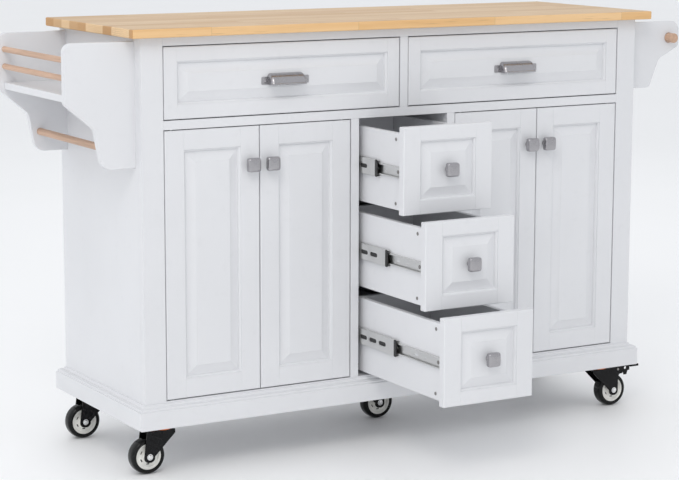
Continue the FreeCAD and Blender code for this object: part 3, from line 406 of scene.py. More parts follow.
def add_loft(bm, sections, axis_point, steps=56):
    """A solid through rounded-square sections of (along, half width, squareness); 2 is a circle."""
    rings = []
    for along, half, power in sections:
        if half < 1e-6:
            rings.append([bm.verts.new(axis_point(0.0, 0.0, along))])
            continue
        ring = []
        for step in range(steps):
            angle = math.tau * (step + 0.5) / steps
            c, s = math.cos(angle), math.sin(angle)
            reach = (abs(c) ** power + abs(s) ** power) ** (-1.0 / power) * half
            ring.append(bm.verts.new(axis_point(c * reach, s * reach, along)))
        rings.append(ring)
    for lower, upper in zip(rings, rings[1:]):
        for step in range(steps):
            after = (step + 1) % steps
            corners = [lower[step % len(lower)], lower[after % len(lower)]]
            corners += [upper[after % len(upper)], upper[step % len(upper)]]
            bm.faces.new(list(dict.fromkeys(corners)))


def add_screw(bm, place, facing, radius, height):
    """A pan-head screw with a cross recess. facing is the outward direction along X, Y or Z."""
    outward = Vector(facing)
    side = Vector((0, 0, 1)) if abs(outward.z) < 0.5 else Vector((1, 0, 0))
    up = outward.cross(side)
    turn = Matrix((side, up, outward)).transposed()
    start = len(bm.verts)
    recess = radius * 0.45
    head = [(0.0, height * 0.45), (recess * 0.5, height * 0.45)]
    head += [(recess, height), (radius * 0.75, height * 0.9)]
    head += [(radius * 0.95, height * 0.5), (radius, 0.0)]
    spin(bm, head, "z", steps=20)
    bm.verts.ensure_lookup_table()
    for index in range(start, len(bm.verts)):
        vert = bm.verts[index]
        vert.co = turn @ vert.co + Vector(place)


# ------------------------------------------------------------------ finishes


class Finish:
    """A material's node tree, laid down one node at a time."""

    def __init__(self, name):
        self.material = bpy.data.materials.new(name)
        self.material.use_nodes = True
        self.tree = self.material.node_tree
        self.surface = self.tree.nodes["Principled BSDF"]

    def node(self, kind, inputs=None, **settings):
        made = self.tree.nodes.new("ShaderNode" + kind)
        for key, value in settings.items():
            setattr(made, key, value)
        for key, value in (inputs or {}).items():
            if isinstance(value, bpy.types.NodeSocket):
                self.tree.links.new(value, made.inputs[key])
            else:
                made.inputs[key].default_value = value
        return made

    def place(self, stretch=(1, 1, 1), turn=(0, 0, 0)):
        """Coordinates in metres on the piece, stretched along each axis."""
        at = self.node("TexCoord").outputs["Object"]
        return self.node("Mapping", {"Vector": at, "Scale": stretch, "Rotation": turn}).outputs["Vector"]

    def noise(self, at, scale, detail=3.0, rough=0.5, distortion=0.0):
        inputs = {"Vector": at, "Scale": scale, "Detail": detail, "Roughness": rough, "Distortion": distortion}
        return self.node("TexNoise", inputs).outputs["Fac"]

    def level(self, value, low, high, start=0.0, end=1.0):
        """Carry value from start..end to low..high, and stop at both."""
        inputs = {"Value": value, "From Min": start, "From Max": end, "To Min": low, "To Max": high}
        return self.node("MapRange", inputs).outputs["Result"]

    def math(self, operation, first, second):
        return self.node("Math", {0: first, 1: second}, operation=operation).outputs[0]

    def mix(self, share, first, second, blend="MIX"):
        made = self.node("Mix", {0: share, 6: first, 7: second}, data_type="RGBA", blend_type=blend)
        return made.outputs[2]

    def bump(self, height, strength, distance):
        made = self.node("Bump", {"Height": height, "Strength": strength, "Distance": distance})
        self.tree.links.new(made.outputs["Normal"], self.surface.inputs["Normal"])

    def finish(self, **inputs):
        for key, value in inputs.items():
            socket = self.surface.inputs[key.replace("_", " ")]
            if isinstance(value, bpy.types.NodeSocket):
                self.tree.links.new(value, socket)
            else:
                socket.default_value = value
        return self.material


def rgba(tone, share=1.0):
    return tuple(channel * share for channel in tone) + (1.0,)


def paint_finish(tones):
    """Sprayed satin white: a faint cloudiness, a fine orange peel, and slightly duller low spots."""
    f = Finish("satin_paint")
    at = f.place()
    cloud = f.level(f.noise(at, 3.2, 3.0), 0.0, 1.0, 0.32, 0.68)
    speck = f.level(f.noise(at, 46.0, 2.0), 0.0, 1.0, 0.60, 0.80)
    base = f.mix(cloud, rgba(tones.paint), rgba(tones.paint, 0.955))
    colour_out = f.mix(f.math("MULTIPLY", speck, 0.3), base, rgba(tones.paint, 0.90))
    peel = f.noise(at, 620.0, 2.0, 0.6)
    brushed = f.noise(f.place((70.0, 70.0, 9.0)), 7.0, 2.0)
    f.bump(f.math("ADD", peel, f.math("MULTIPLY", brushed, 0.6)), 0.10, 0.0004)
    return f.finish(
        Base_Color=colour_out,
        Roughness=f.level(cloud, 0.33, 0.41),
        Coat_Weight=0.10,
        Coat_Roughness=0.22,
    )


def stave_coordinates(f, stave_length, stave_width):
    """A number for each stave, and coordinates that start afresh in it."""
    at = f.place()
    staves = f.node(
        "TexBrick",
        {
            "Vector": at,
            "Scale": 1.0,
            "Mortar Size": 0.00035,
            "Mortar Smooth": 0.4,
            "Bias": 0.0,
            "Brick Width": stave_length,
            "Row Height": stave_width,
            "Color1": (0, 0, 0, 1),
            "Color2": (1, 1, 1, 1),
            "Mortar": (0.5, 0.5, 0.5, 1),
        },
        offset=0.37,
        offset_frequency=2,
    )
    shift = f.node(
        "VectorMath", {0: staves.outputs["Color"], 1: (7.3, 3.1, 5.7)}, operation="MULTIPLY"
    ).outputs[0]
    moved = f.node("VectorMath", {0: at, 1: shift}, operation="ADD").outputs[0]
    return staves, moved


def worktop_finish(name, tones, share):
    """Oiled rubberwood staves: each its own tone, with long grain, short dark pores and fine glue lines. share
    scales every colour: below 1 it makes a darker copy of the wood as painted shade, above 1 a lighter copy as
    painted light.
    """
    f = Finish(name)
    staves, at = stave_coordinates(f, 0.34, 0.0425)
    number = f.node("SeparateColor", {"Color": staves.outputs["Color"]}).outputs[0]
    long_grain = f.node("Mapping", {"Vector": at, "Scale": (1.6, 34.0, 34.0)}).outputs["Vector"]
    figure = f.level(f.noise(long_grain, 1.6, 5.0, 0.55, 0.9), 0.0, 1.0, 0.30, 0.72)
    tone = f.math("ADD", f.math("MULTIPLY", number, 0.62), f.math("MULTIPLY", figure, 0.38))
    base = f.mix(tone, rgba(tones.wood_pale, share), rgba(tones.wood_warm, share))
    pores = f.node("Mapping", {"Vector": at, "Scale": (9.0, 430.0, 430.0)}).outputs["Vector"]
    dashes = f.level(f.noise(pores, 1.0, 2.0, 0.6), 0.0, 1.0, 0.62, 0.72)
    flecked = f.mix(f.math("MULTIPLY", dashes, 0.45), base, rgba(tones.wood_warm, 0.42))
    glued = f.mix(f.math("MULTIPLY", staves.outputs["Fac"], 0.55), flecked, rgba(tones.wood_warm, 0.30))
    f.bump(f.math("SUBTRACT", figure, f.math("MULTIPLY", dashes, 1.5)), 0.12, 0.0004)
    return f.finish(
        Base_Color=glued, Roughness=f.level(figure, 0.44, 0.56), Coat_Weight=0.05, Coat_Roughness=0.3
    )


def end_grain_finish(tones):
    """The staves' sawn ends: growth arcs in each, darker, with open pores."""
    f = Finish("rubberwood_end_grain")
    staves, at = stave_coordinates(f, 0.34, 0.0425)
    number = f.node("SeparateColor", {"Color": staves.outputs["Color"]}).outputs[0]
    arcs = f.node(
        "TexWave",
        {"Vector": at, "Scale": 75.0, "Distortion": 5.5, "Detail": 2.5, "Detail Scale": 0.8},
        wave_type="RINGS",
        rings_direction="X",
    ).outputs["Fac"]
    pores = f.level(f.noise(at, 900.0, 1.0), 0.0, 1.0, 0.58, 0.70)
    block = f.level(number, 0.0, 1.0, 0.25, 0.75)
    stave = f.mix(block, rgba(tones.wood_pale, 1.16), rgba(tones.end_grain, 0.80))
    toned = f.mix(f.math("MULTIPLY", arcs, 0.25), stave, rgba(tones.end_grain, 0.50))
    pored = f.mix(f.math("MULTIPLY", pores, 0.5), toned, rgba(tones.end_grain, 0.32))
    f.bump(pores, 0.15, 0.0003)
    return f.finish(Base_Color=pored, Roughness=f.level(arcs, 0.48, 0.60))


def dowel_finish(tones):
    """Turned pinkish hardwood with grain along Y and a light oil."""
    f = Finish("dowel_wood")
    grain_at = f.place((60.0, 2.2, 60.0))
    grain = f.level(f.noise(grain_at, 2.0, 4.0, 0.6, 0.6), 0.0, 1.0, 0.34, 0.70)
    fleck = f.level(f.noise(f.place((420.0, 12.0, 420.0)), 1.0, 2.0), 0.0, 1.0, 0.60, 0.72)
    base = f.mix(grain, rgba(tones.dowel), rgba(tones.dowel, 0.72))
    colour_out = f.mix(f.math("MULTIPLY", fleck, 0.35), base, rgba(tones.dowel, 0.45))
    f.bump(f.math("SUBTRACT", grain, fleck), 0.10, 0.0003)
    return f.finish(Base_Color=colour_out, Roughness=f.level(grain, 0.42, 0.54))


def metal_finish(name, tone, dull, shiny, stretch, scratch=0.25):
    """A metal drawn or brushed along one way, with faint handling marks."""
    f = Finish(name)
    drawn = f.noise(f.place(stretch), 3.0, 2.0, 0.5)
    marks = f.level(f.noise(f.place(), 22.0, 3.0, 0.5), 0.0, 1.0, 0.40, 0.70)
    colour_out = f.mix(f.math("MULTIPLY", marks, scratch), rgba(tone), rgba(tone, 0.80))
    wear = f.math("ADD", f.math("MULTIPLY", drawn, 0.5), f.math("MULTIPLY", marks, 0.5))
    f.bump(drawn, 0.03, 0.0001)
    return f.finish(
        Base_Color=colour_out, Metallic=1.0, Roughness=f.level(wear, shiny, dull, 0.25, 0.75)
    )


def moulded_finish(name, tone, shiny, dull, coat=0.0, grit=700.0, sheen=0.5):
    """Enamel, plastic or rubber: slight mottling, a fine surface grain."""
    f = Finish(name)
    at = f.place()
    mottle = f.level(f.noise(at, 38.0, 3.0), 0.0, 1.0, 0.35, 0.68)
    colour_out = f.mix(mottle, rgba(tone), rgba(tone, 0.80))
    f.bump(f.noise(at, grit, 2.0), 0.10, 0.0003)
    rough = f.level(mottle, shiny, dull)
    f.finish(Specular_IOR_Level=sheen, Coat_Weight=coat, Coat_Roughness=0.08)
    return f.finish(Base_Color=colour_out, Roughness=rough)


def floor_finish(tone):
    f = Finish("studio_floor")
    cloud = f.level(f.noise(f.place(), 1.4, 3.0), 0.0, 1.0, 0.35, 0.65)
    f.bump(f.noise(f.place(), 240.0, 2.0), 0.04, 0.0005)
    return f.finish(Base_Color=f.mix(cloud, rgba(tone), rgba(tone, 0.99)), Roughness=0.55)


def finishes():
    """Every finish of the cart, made once and shared by its pieces."""
    if not LOOKS:
        tones = bpy.context.scene.cart_finishes
        LOOKS["paint"] = paint_finish(tones)
        # the worktop's top and bottom are a darkened copy of the wood (painted shade, share 0.86) and its
        # front and back edges a lightened copy (painted light, share 1.22), set against how the lamps light
        # the top and the edge
        LOOKS["staves"] = worktop_finish("rubberwood_painted_shade_staves", tones, 0.86)
        LOOKS["stave_edge"] = worktop_finish("rubberwood_stave_edge", tones, 1.22)
        LOOKS["end_grain"] = end_grain_finish(tones)
        LOOKS["dowel"] = dowel_finish(tones)
        LOOKS["nickel"] = metal_finish("brushed_nickel", tones.nickel, 0.30, 0.24, (20.0, 500.0, 500.0))
        LOOKS["zinc"] = metal_finish("zinc_steel", tones.zinc, 0.36, 0.28, (400.0, 6.0, 400.0))
        LOOKS["screw"] = metal_finish(
            "screw_steel", (0.30, 0.29, 0.28), 0.40, 0.28, (300.0, 300.0, 300.0), 0.4
        )
        LOOKS["chrome"] = metal_finish(
            "chrome_bolt", (0.80, 0.80, 0.80), 0.16, 0.07, (200.0, 200.0, 200.0), 0.15
        )
        LOOKS["enamel"] = moulded_finish("black_enamel", tones.enamel, 0.16, 0.28, grit=300.0, sheen=0.2)
        LOOKS["tread"] = moulded_finish("black_tread", tones.tread, 0.10, 0.18, grit=500.0, sheen=0.25)
        LOOKS["rim"] = moulded_finish("ivory_rim", tones.rim, 0.28, 0.40, grit=800.0)
        LOOKS["ring"] = moulded_finish("orange_ring", tones.ring, 0.30, 0.42)
        LOOKS["black"] = moulded_finish("black_plastic", tones.moulded_black, 0.32, 0.48)
    return LOOKS


LOOKS = {}


# ------------------------------------------------------------------ shapes shared by several pieces


def append(bm, part):
    """Move everything in part into bm."""
    carrier = bpy.data.meshes.new("carrier")
    part.to_mesh(carrier)
    part.free()
    bm.from_mesh(carrier)
    bpy.data.meshes.remove(carrier)


def loose_parts(bm):
    """The separate solids of a mesh, as lists of faces, the largest first."""
    unseen = set(bm.faces)
    parts = []
    while unseen:
        seed = unseen.pop()
        part, edge = [seed], [seed]
        while edge:
            face = edge.pop()
            for side in face.edges:
                for other in side.link_faces:
                    if other in unseen:
                        unseen.remove(other)
                        part.append(other)
                        edge.append(other)
        parts.append(part)
    return sorted(parts, key=lambda part: -sum(face.calc_area() for face in part))


def eased_from_frame(name, node, material, edge, largest_only=False):
    """A new mesh in a node's shape: flat faces made whole and sharp edges rounded over."""
    bm = bmesh.new()
    bm.from_mesh(frame["nodes"][node].data)
    bmesh.ops.remove_doubles(bm, verts=bm.verts, dist=5e-6)
    if largest_only:
        for part in loose_parts(bm)[1:]:
            bmesh.ops.delete(bm, geom=part, context="FACES")
        loose = [v for v in bm.verts if not v.link_faces]
        bmesh.ops.delete(bm, geom=loose, context="VERTS")
    bmesh.ops.dissolve_limit(bm, angle_limit=math.radians(0.5), verts=bm.verts, edges=bm.edges)
    sharp = [e for e in bm.edges if len(e.link_faces) == 2 and e.calc_face_angle(0) > math.radians(32)]
    bmesh.ops.bevel(bm, geom=sharp, offset=edge, segments=2, profile=0.5, affect="EDGES", clamp_overlap=True)
    return mesh_piece(name, bm, [material])


def add_member(bm, low, high, outside, soft, fine):
    """A stile or rail: front edges on the outside of the frame well rounded, the others barely eased."""
    part = bmesh.new()
    add_box(part, low, high)
    faces = {"left": (0, low[0]), "right": (0, high[0]), "bottom": (2, low[2]), "top": (2, high[2])}

    def lies_on(edge, axis, value):
        return all(abs(v.co[axis] - value) < 1e-7 for v in edge.verts)

    rounded = [
        e for e in part.edges if lies_on(e, 1, low[1]) and any(lies_on(e, *faces[side]) for side in outside)
    ]
    if rounded:
        bmesh.ops.bevel(part, geom=rounded, offset=soft, segments=6, profile=0.5, affect="EDGES")
    square = [e for e in part.edges if e.calc_face_angle(0) > math.radians(60)]
    bmesh.ops.bevel(part, geom=square, offset=fine, segments=2, profile=0.5, affect="EDGES")
    append(bm, part)


def add_raised_panel(bm, x, z, front_y, thick, sizes):
    """A raised panel in its opening: moulded border, groove, slope, small step and flat field."""
    part = bmesh.new()
    tuck = 0.0006
    lip = 0.0004
    lip_depth = 0.0020
    field_step = 0.0016
    hollow = 0.10
    bead_steps = 9
    slope_steps = 6
    bead = sizes.bead
    groove = sizes.groove
    slope_start = bead + 0.0012
    slope_end = slope_start + sizes.bevel
    loops = [(-tuck, thick - 0.0035), (-tuck, 0.0022), (lip, lip_depth)]
    for step in range(1, bead_steps + 1):
        turn = math.pi / 2 * step / bead_steps
        inset = lip + (bead - lip) * math.sin(turn)
        loops.append((inset, lip_depth + (groove - lip_depth) * (1 - math.cos(turn))))
    loops.append((slope_start, groove))
    for step in range(1, slope_steps + 1):
        share = step / slope_steps
        # the slope is very slightly hollow, as a cutter leaves it
        risen = share - hollow * math.sin(math.pi * share)
        loops.append((slope_start + sizes.bevel * share, groove + (field_step - groove) * risen))
    loops += [(slope_end + 0.0005, 0.0011), (slope_end + 0.0013, 0.0010)]
    rows = []
    for inset, depth in loops:
        corners = ((x[0] + inset, z[0] + inset), (x[1] - inset, z[0] + inset))
        corners += ((x[1] - inset, z[1] - inset), (x[0] + inset, z[1] - inset))
        rows.append([part.verts.new((px, front_y + depth, pz)) for px, pz in corners])
    for outer, inner in zip(rows, rows[1:]):
        for corner in range(4):
            after = (corner + 1) % 4
            part.faces.new((outer[corner], outer[after], inner[after], inner[corner]))
    part.faces.new(rows[0])
    part.faces.new(rows[-1])
    bmesh.ops.recalc_face_normals(part, faces=part.faces)
    append(bm, part)


def panelled_front(x, z, y, stile, rail, sizes, soft=0.0022):
    """Two stiles between which stand two rails and a raised panel, each its own closed shape."""
    bm = bmesh.new()
    inner_x = (x[0] + stile, x[1] - stile)
    inner_z = (z[0] + rail, z[1] - rail)
    fine = sizes.joint_ease
    add_member(bm, (x[0], y[0], z[0]), (inner_x[0], y[1], z[1]), ("left", "bottom", "top"), soft, fine)
    add_member(bm, (inner_x[1], y[0], z[0]), (x[1], y[1], z[1]), ("right", "bottom", "top"), soft, fine)
    add_member(bm, (inner_x[0], y[0], z[0]), (inner_x[1], y[1], inner_z[0]), ("bottom",), soft, fine)
    add_member(bm, (inner_x[0], y[0], inner_z[1]), (inner_x[1], y[1], z[1]), ("top",), soft, fine)
    add_raised_panel(bm, inner_x, inner_z, y[0], y[1] - y[0], sizes)
    return bm


def add_screws(bm, places, facing, radius, height):
    for place in places:
        add_screw(bm, place, facing, radius, height)


def slot_outline(x, z, half_length, radius, steps=6):
    """A round-ended slot lying along the first axis."""
    points = []
    for centre, start in ((x + half_length, -math.pi / 2), (x - half_length, math.pi / 2)):
        for step in range(steps + 1):
            angle = start + math.pi * step / steps
            points.append(Vector((centre + radius * math.cos(angle), z + radius * math.sin(angle))))
    return points


def rectangle(low_x, high_x, low_z, high_z):
    return [(low_x, low_z), (high_x, low_z), (high_x, high_z), (low_x, high_z)]


def add_channel(bm, wall, way, start, width, half, y, level, sheet, returned, holes):
    """A rolled channel along Y: a web with holes near the wall, and a returned lip above and below."""

    def across(offset):
        return wall + offset * way

    web = rounded_outline(rectangle(y[0], y[1], level - half + sheet, level + half - sheet), {})
    near, far = sorted((across(start), across(start + sheet)))
    add_plate(bm, web, near, far, holes=holes, edge=0.0, axes="yz")
    for side in (1, -1):
        points = [
            (across(start), level + side * (half - sheet)),
            (across(start), level + side * half),
            (across(start + width), level + side * half),
            (across(start + width), level + side * (half - returned)),
            (across(start + width - sheet), level + side * (half - returned)),
            (across(start + width - sheet), level + side * (half - sheet)),
        ]
        section = rounded_outline(points, {1: sheet * 0.9, 2: sheet * 0.9, 5: sheet * 0.3}, steps=4)
        add_plate(bm, section, y[0], y[1], axes="xz")


# ------------------------------------------------------------------ operators, one for each group of pieces


class BuildWorktop(bpy.types.Operator):
    """Staved worktop with softened edges and sawn ends"""

    bl_idname = "cart.worktop"
    bl_label = "Worktop"

    def execute(self, context):
        sizes = context.scene.cart_joinery
        bm = bmesh.new()
        add_box(bm, WORKTOP_LOW, WORKTOP_HIGH, sizes.worktop_round, steps=4)
        # top and bottom take the darkened copy (painted shade), the ends take end grain, and the front and
        # back edges take the lightened copy (painted light)
        for face in bm.faces:
            face.normal_update()
            if abs(face.normal.x) > 0.55:
                face.material_index = 1
            elif abs(face.normal.y) > 0.55:
                face.material_index = 2
        looks = finishes()
        piece = mesh_piece("worktop_staves", bm, [looks["staves"], looks["end_grain"], looks["stave_edge"]])
        fit(piece, "cabinet", "rubberwood", "worktop")
        return {"FINISHED"}


class BuildCarcass(bpy.types.Operator):
    """Painted boards of the cabinet, inside and out"""

    bl_idname = "cart.carcass"
    bl_label = "Carcass"

    def execute(self, context):
        sizes = context.scene.cart_joinery
        paint = finishes()["paint"]
        painted = ("side_panel_left", "side_panel_right", "bay_partitions", "bottom_board", "drawer_deck")
        painted += ("drawer_divider_and_spacers", "cupboard_shelves", "caster_rails")
        for node in painted:
            piece = eased_from_frame(node + "_painted", node, paint, sizes.edge_round)
            fit(piece, "cabinet", "white_paint", node)
        self.back(paint)
        pins = eased_from_frame("shelf_pins_plated", "shelf_pins", finishes()["zinc"], 0.0004)
        fit(pins, "cabinet", "slide_steel", "shelf_pins")
        return {"FINISHED"}

    def back(self, paint):
        """The back panel, nailed round its edge."""
        bm = bmesh.new()
        add_box(bm, BACK_LOW, BACK_HIGH, 0.0008)
        fit(mesh_piece("back_panel_painted", bm, [paint]), "cabinet", "white_paint", "back_panel")
        heads = bmesh.new()
        inset = 0.012
        columns = 11
        rows = 6
        head_radius = 0.0032
        head_height = 0.0009
        bottom = PLINTH_HIGH.z + inset
        places = []
        for column in range(columns):
            x = BACK_LOW.x + inset + (BACK_HIGH.x - BACK_LOW.x - inset * 2) * column / (columns - 1)
            places += [(x, BACK_HIGH.y, BACK_HIGH.z - inset), (x, BACK_HIGH.y, bottom)]
        for row in range(1, rows):
            z = bottom + (BACK_HIGH.z - inset - bottom) * row / rows
            places += [(BACK_LOW.x + inset, BACK_HIGH.y, z), (BACK_HIGH.x - inset, BACK_HIGH.y, z)]
        add_screws(heads, places, (0, 1, 0), head_radius, head_height)
        add_piece("back_panel_screws", heads, "screw", "cabinet", "slide_steel")


class BuildFaceFrame(bpy.types.Operator):
    """Posts, rails and stiles of the face frame, butted together"""

    bl_idname = "cart.face_frame"
    bl_label = "Face frame"

    def execute(self, context):
        sizes = context.scene.cart_joinery
        y = (FRAME_LOW.y, FRAME_HIGH.y)
        left = FRAME_LOW.x + sizes.post_width
        right = FRAME_HIGH.x - sizes.post_width
        bay = PARTITION_HIGH.x
        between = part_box("drawer_right_front")[0].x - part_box("drawer_left_front")[1].x
        half_mullion = between / 2 - sizes.reveal
        rail_top = FRAME_HIGH.z - sizes.top_rail
        members = [
            ((FRAME_LOW.x, left), (FRAME_LOW.z, FRAME_HIGH.z)),
            ((right, FRAME_HIGH.x), (FRAME_LOW.z, FRAME_HIGH.z)),
            ((left, right), (rail_top, FRAME_HIGH.z)),
            ((left, right), (DECK_LOW.z, DECK_HIGH.z)),
            ((left, right), (FRAME_LOW.z, FLOOR_HIGH.z)),
            ((-half_mullion, half_mullion), (DECK_HIGH.z, rail_top)),
            ((-bay, -bay + sizes.stile_width), (FLOOR_HIGH.z, DECK_LOW.z)),
            ((bay - sizes.stile_width, bay), (FLOOR_HIGH.z, DECK_LOW.z)),
        ]
        bm = bmesh.new()
        for x, z in members:
            add_member(bm, (x[0], y[0], z[0]), (x[1], y[1], z[1]), (), 0.0, sizes.joint_ease)
        piece = mesh_piece("face_frame_painted", bm, [finishes()["paint"]])
        fit(piece, "cabinet", "white_paint", "face_frame")
        return {"FINISHED"}


class BuildPlinth(bpy.types.Operator):
    """Mitred plinth with a moulded top edge, all round the cabinet"""

    bl_idname = "cart.plinth"
    bl_label = "Plinth"

    def execute(self, context):
        sizes = context.scene.cart_joinery
        project = -FRAME_HIGH.x + PLINTH_HIGH.x
        low = PLINTH_LOW.z
        fascia = low + sizes.fascia
        high = PLINTH_HIGH.z
        profile = [(0.0, low), (project - 0.001, low), (project, low + 0.001), (project, fascia - 0.0008)]
        profile += [(project - 0.0008, fascia), (project - 0.0030, fascia)]
        profile.append((project - 0.0030, fascia + 0.0016))
        bead = (project - 0.0048, fascia + 0.0034)
        for step in range(7):
            turn = math.pi / 2 * step / 6
            profile.append((bead[0] + 0.0018 * math.cos(turn), bead[1] + 0.0018 * math.sin(turn)))
        profile += [(project - 0.0066, fascia + 0.0052), (project - 0.0066, fascia + 0.0064)]
        reach = project - 0.0070
        rise = high - 0.0016 - (fascia + 0.0064)
        for step in range(9):
            turn = math.pi / 2 * step / 8
            out = reach - (reach - 0.0030) * math.sin(turn)
            profile.append((out, fascia + 0.0064 + rise * (1 - math.cos(turn))))
        profile += [(0.0030, high - 0.0004), (0.0024, high)]
        profile.append((0.0, high))
        bm = bmesh.new()
        corners = [
            (FRAME_LOW.x, FRAME_LOW.y, -1, -1),
            (FRAME_HIGH.x, FRAME_LOW.y, 1, -1),
            (FRAME_HIGH.x, BACK_HIGH.y, 1, 1),
            (FRAME_LOW.x, BACK_HIGH.y, -1, 1),
        ]
        columns = []
        for x, y, way_x, way_y in corners:
            columns.append([bm.verts.new((x + out * way_x, y + out * way_y, z)) for out, z in profile])
        for index, column in enumerate(columns):
            after = columns[(index + 1) % len(columns)]
            for step in range(len(profile)):
                following = (step + 1) % len(profile)
                bm.faces.new((column[step], after[step], after[following], column[following]))
        piece = mesh_piece("plinth_moulded", bm, [finishes()["paint"]], smooth_angle=24.0)
        fit(piece, "cabinet", "white_paint", "plinth")
        return {"FINISHED"}


class BuildDoors(bpy.types.Operator):
    """Four raised-panel doors, each on its two pivot pins"""

    bl_idname = "cart.doors"
    bl_label = "Doors"

    def execute(self, context):
        sizes = context.scene.cart_joinery
        z = (FLOOR_HIGH.z + sizes.reveal, DECK_LOW.z - sizes.reveal)
        for door in DOORS:
            body = "door_" + door
            low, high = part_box(body + "_leaf")
            bm = panelled_front(
                (low.x, high.x), z, (low.y, high.y), sizes.door_stile, sizes.door_rail, sizes
            )
            add_piece(
                body + "_panelled", bm, "paint", body, "white_paint", body + "_leaf", smooth_angle=PANEL_CREASE
            )
            pins = bmesh.new()
            pivot = JOINTS[body + "_hinge"]["pos_m"]
            for start, end in ((low.z, z[0] + 0.002), (z[1] - 0.002, high.z)):
                spin(
                    pins,
                    rod_profile(sizes.pivot_radius, start, end, 0.0004),
                    "z",
                    (pivot[0], pivot[1], 0.0),
                    24,
                )
            add_piece(body + "_pivot_pins", pins, "zinc", body, "slide_steel")
        return {"FINISHED"}


class BuildDrawerFronts(bpy.types.Operator):
    """Two wide and three narrow raised-panel drawer fronts"""

    bl_idname = "cart.drawer_fronts"
    bl_label = "Drawer fronts"

    def execute(self, context):
        sizes = context.scene.cart_joinery
        for drawer in TOP_DRAWERS + BAY_DRAWERS:
            body = "drawer_" + drawer
            low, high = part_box(body + "_front")
            in_bay = drawer in BAY_DRAWERS
            stile = sizes.bay_stile if in_bay else sizes.top_border
            rail = sizes.bay_rail if in_bay else sizes.top_border
            bm = panelled_front((low.x, high.x), (low.z, high.z), (low.y, high.y), stile, rail, sizes)
            add_piece(
                body + "_front_panelled",
                bm,
                "paint",
                body,
                "white_paint",
                body + "_front",
                smooth_angle=PANEL_CREASE,
            )
        return {"FINISHED"}


class BuildDrawerBoxes(bpy.types.Operator):
    """Drawer boxes with their floors, fixings and the slides' inner members"""

    bl_idname = "cart.drawer_boxes"
    bl_label = "Drawer boxes"

    def execute(self, context):
        joinery = context.scene.cart_joinery
        slides = context.scene.cart_slides
        for drawer in TOP_DRAWERS + BAY_DRAWERS:
            body = "drawer_" + drawer
            low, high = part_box(body + "_box")
            x = (low.x + slides.inner_width, high.x - slides.inner_width)
            self.box(body, x, low, high, joinery)
            self.fixings(body, x, low, high, drawer in BAY_DRAWERS)
            self.inner_members(body, x, low, high, slides)
        return {"FINISHED"}

    def box(self, body, x, low, high, sizes):
        wall = sizes.box_wall
        inner = (x[0] + wall, x[1] - wall)
        floor = low.z + sizes.box_floor_rise
        edge = 0.0012
        bm = bmesh.new()
        add_box(bm, (x[0], low.y, low.z), (inner[0], high.y, high.z), edge)
        add_box(bm, (inner[1], low.y, low.z), (x[1], high.y, high.z), edge)
        add_box(bm, (inner[0], low.y, low.z), (inner[1], low.y + wall, high.z), edge)
        add_box(bm, (inner[0], high.y - wall, low.z), (inner[1], high.y, high.z), edge)
        add_box(
            bm,
            (inner[0], low.y + wall, floor),
            (inner[1], high.y - wall, floor + sizes.box_floor),
            0.0003,
        )
        add_piece(body + "_box_painted", bm, "paint", body, "white_paint", body + "_box")

    def fixings(self, body, x, low, high, in_bay):
        bm = bmesh.new()
        rise = 0.013
        front = low.y + 0.030
        places = [(front, low.z + rise), (front, high.z - rise)]
        if in_bay:
            places += [(high.y - 0.009, low.z + rise), (high.y - 0.009, high.z - rise)]
        for face, way in ((x[0], -1), (x[1], 1)):
            add_screws(bm, [(face, y, z) for y, z in places], (way, 0, 0), 0.0038, 0.0013)
        add_piece(body + "_box_screws", bm, "screw", body, "slide_steel")

    def inner_members(self, body, x, low, high, slides):
        bm = bmesh.new()
        screws = bmesh.new()
        level = (low.z + high.z) / 2
        half = slides.inner_height / 2
        stations = [low.y + share * (high.y - low.y) for share in (0.055, 0.19, 0.50, 0.78, 0.94)]
        for face, way in ((x[0], -1), (x[1], 1)):
            holes = [circle(y, level, 0.0024, 12) for y in stations[1:4]]
            holes.append(slot_outline(stations[1] + 0.035, level, 0.005, 0.0022))
            span = (low.y, high.y)
            add_channel(bm, face, way, 0.0, slides.inner_width, half, span, level, slides.sheet, 0.0026, holes)
            web = face + slides.sheet * way
            add_screws(
                screws,
                [(web, stations[0], level), (web, stations[4], level)],
                (way, 0, 0),
                0.0040,
                0.0016,
            )
        add_piece(body + "_inner_members", bm, "zinc", body, "slide_steel")
        add_piece(body + "_inner_screws", screws, "screw", body, "slide_steel")


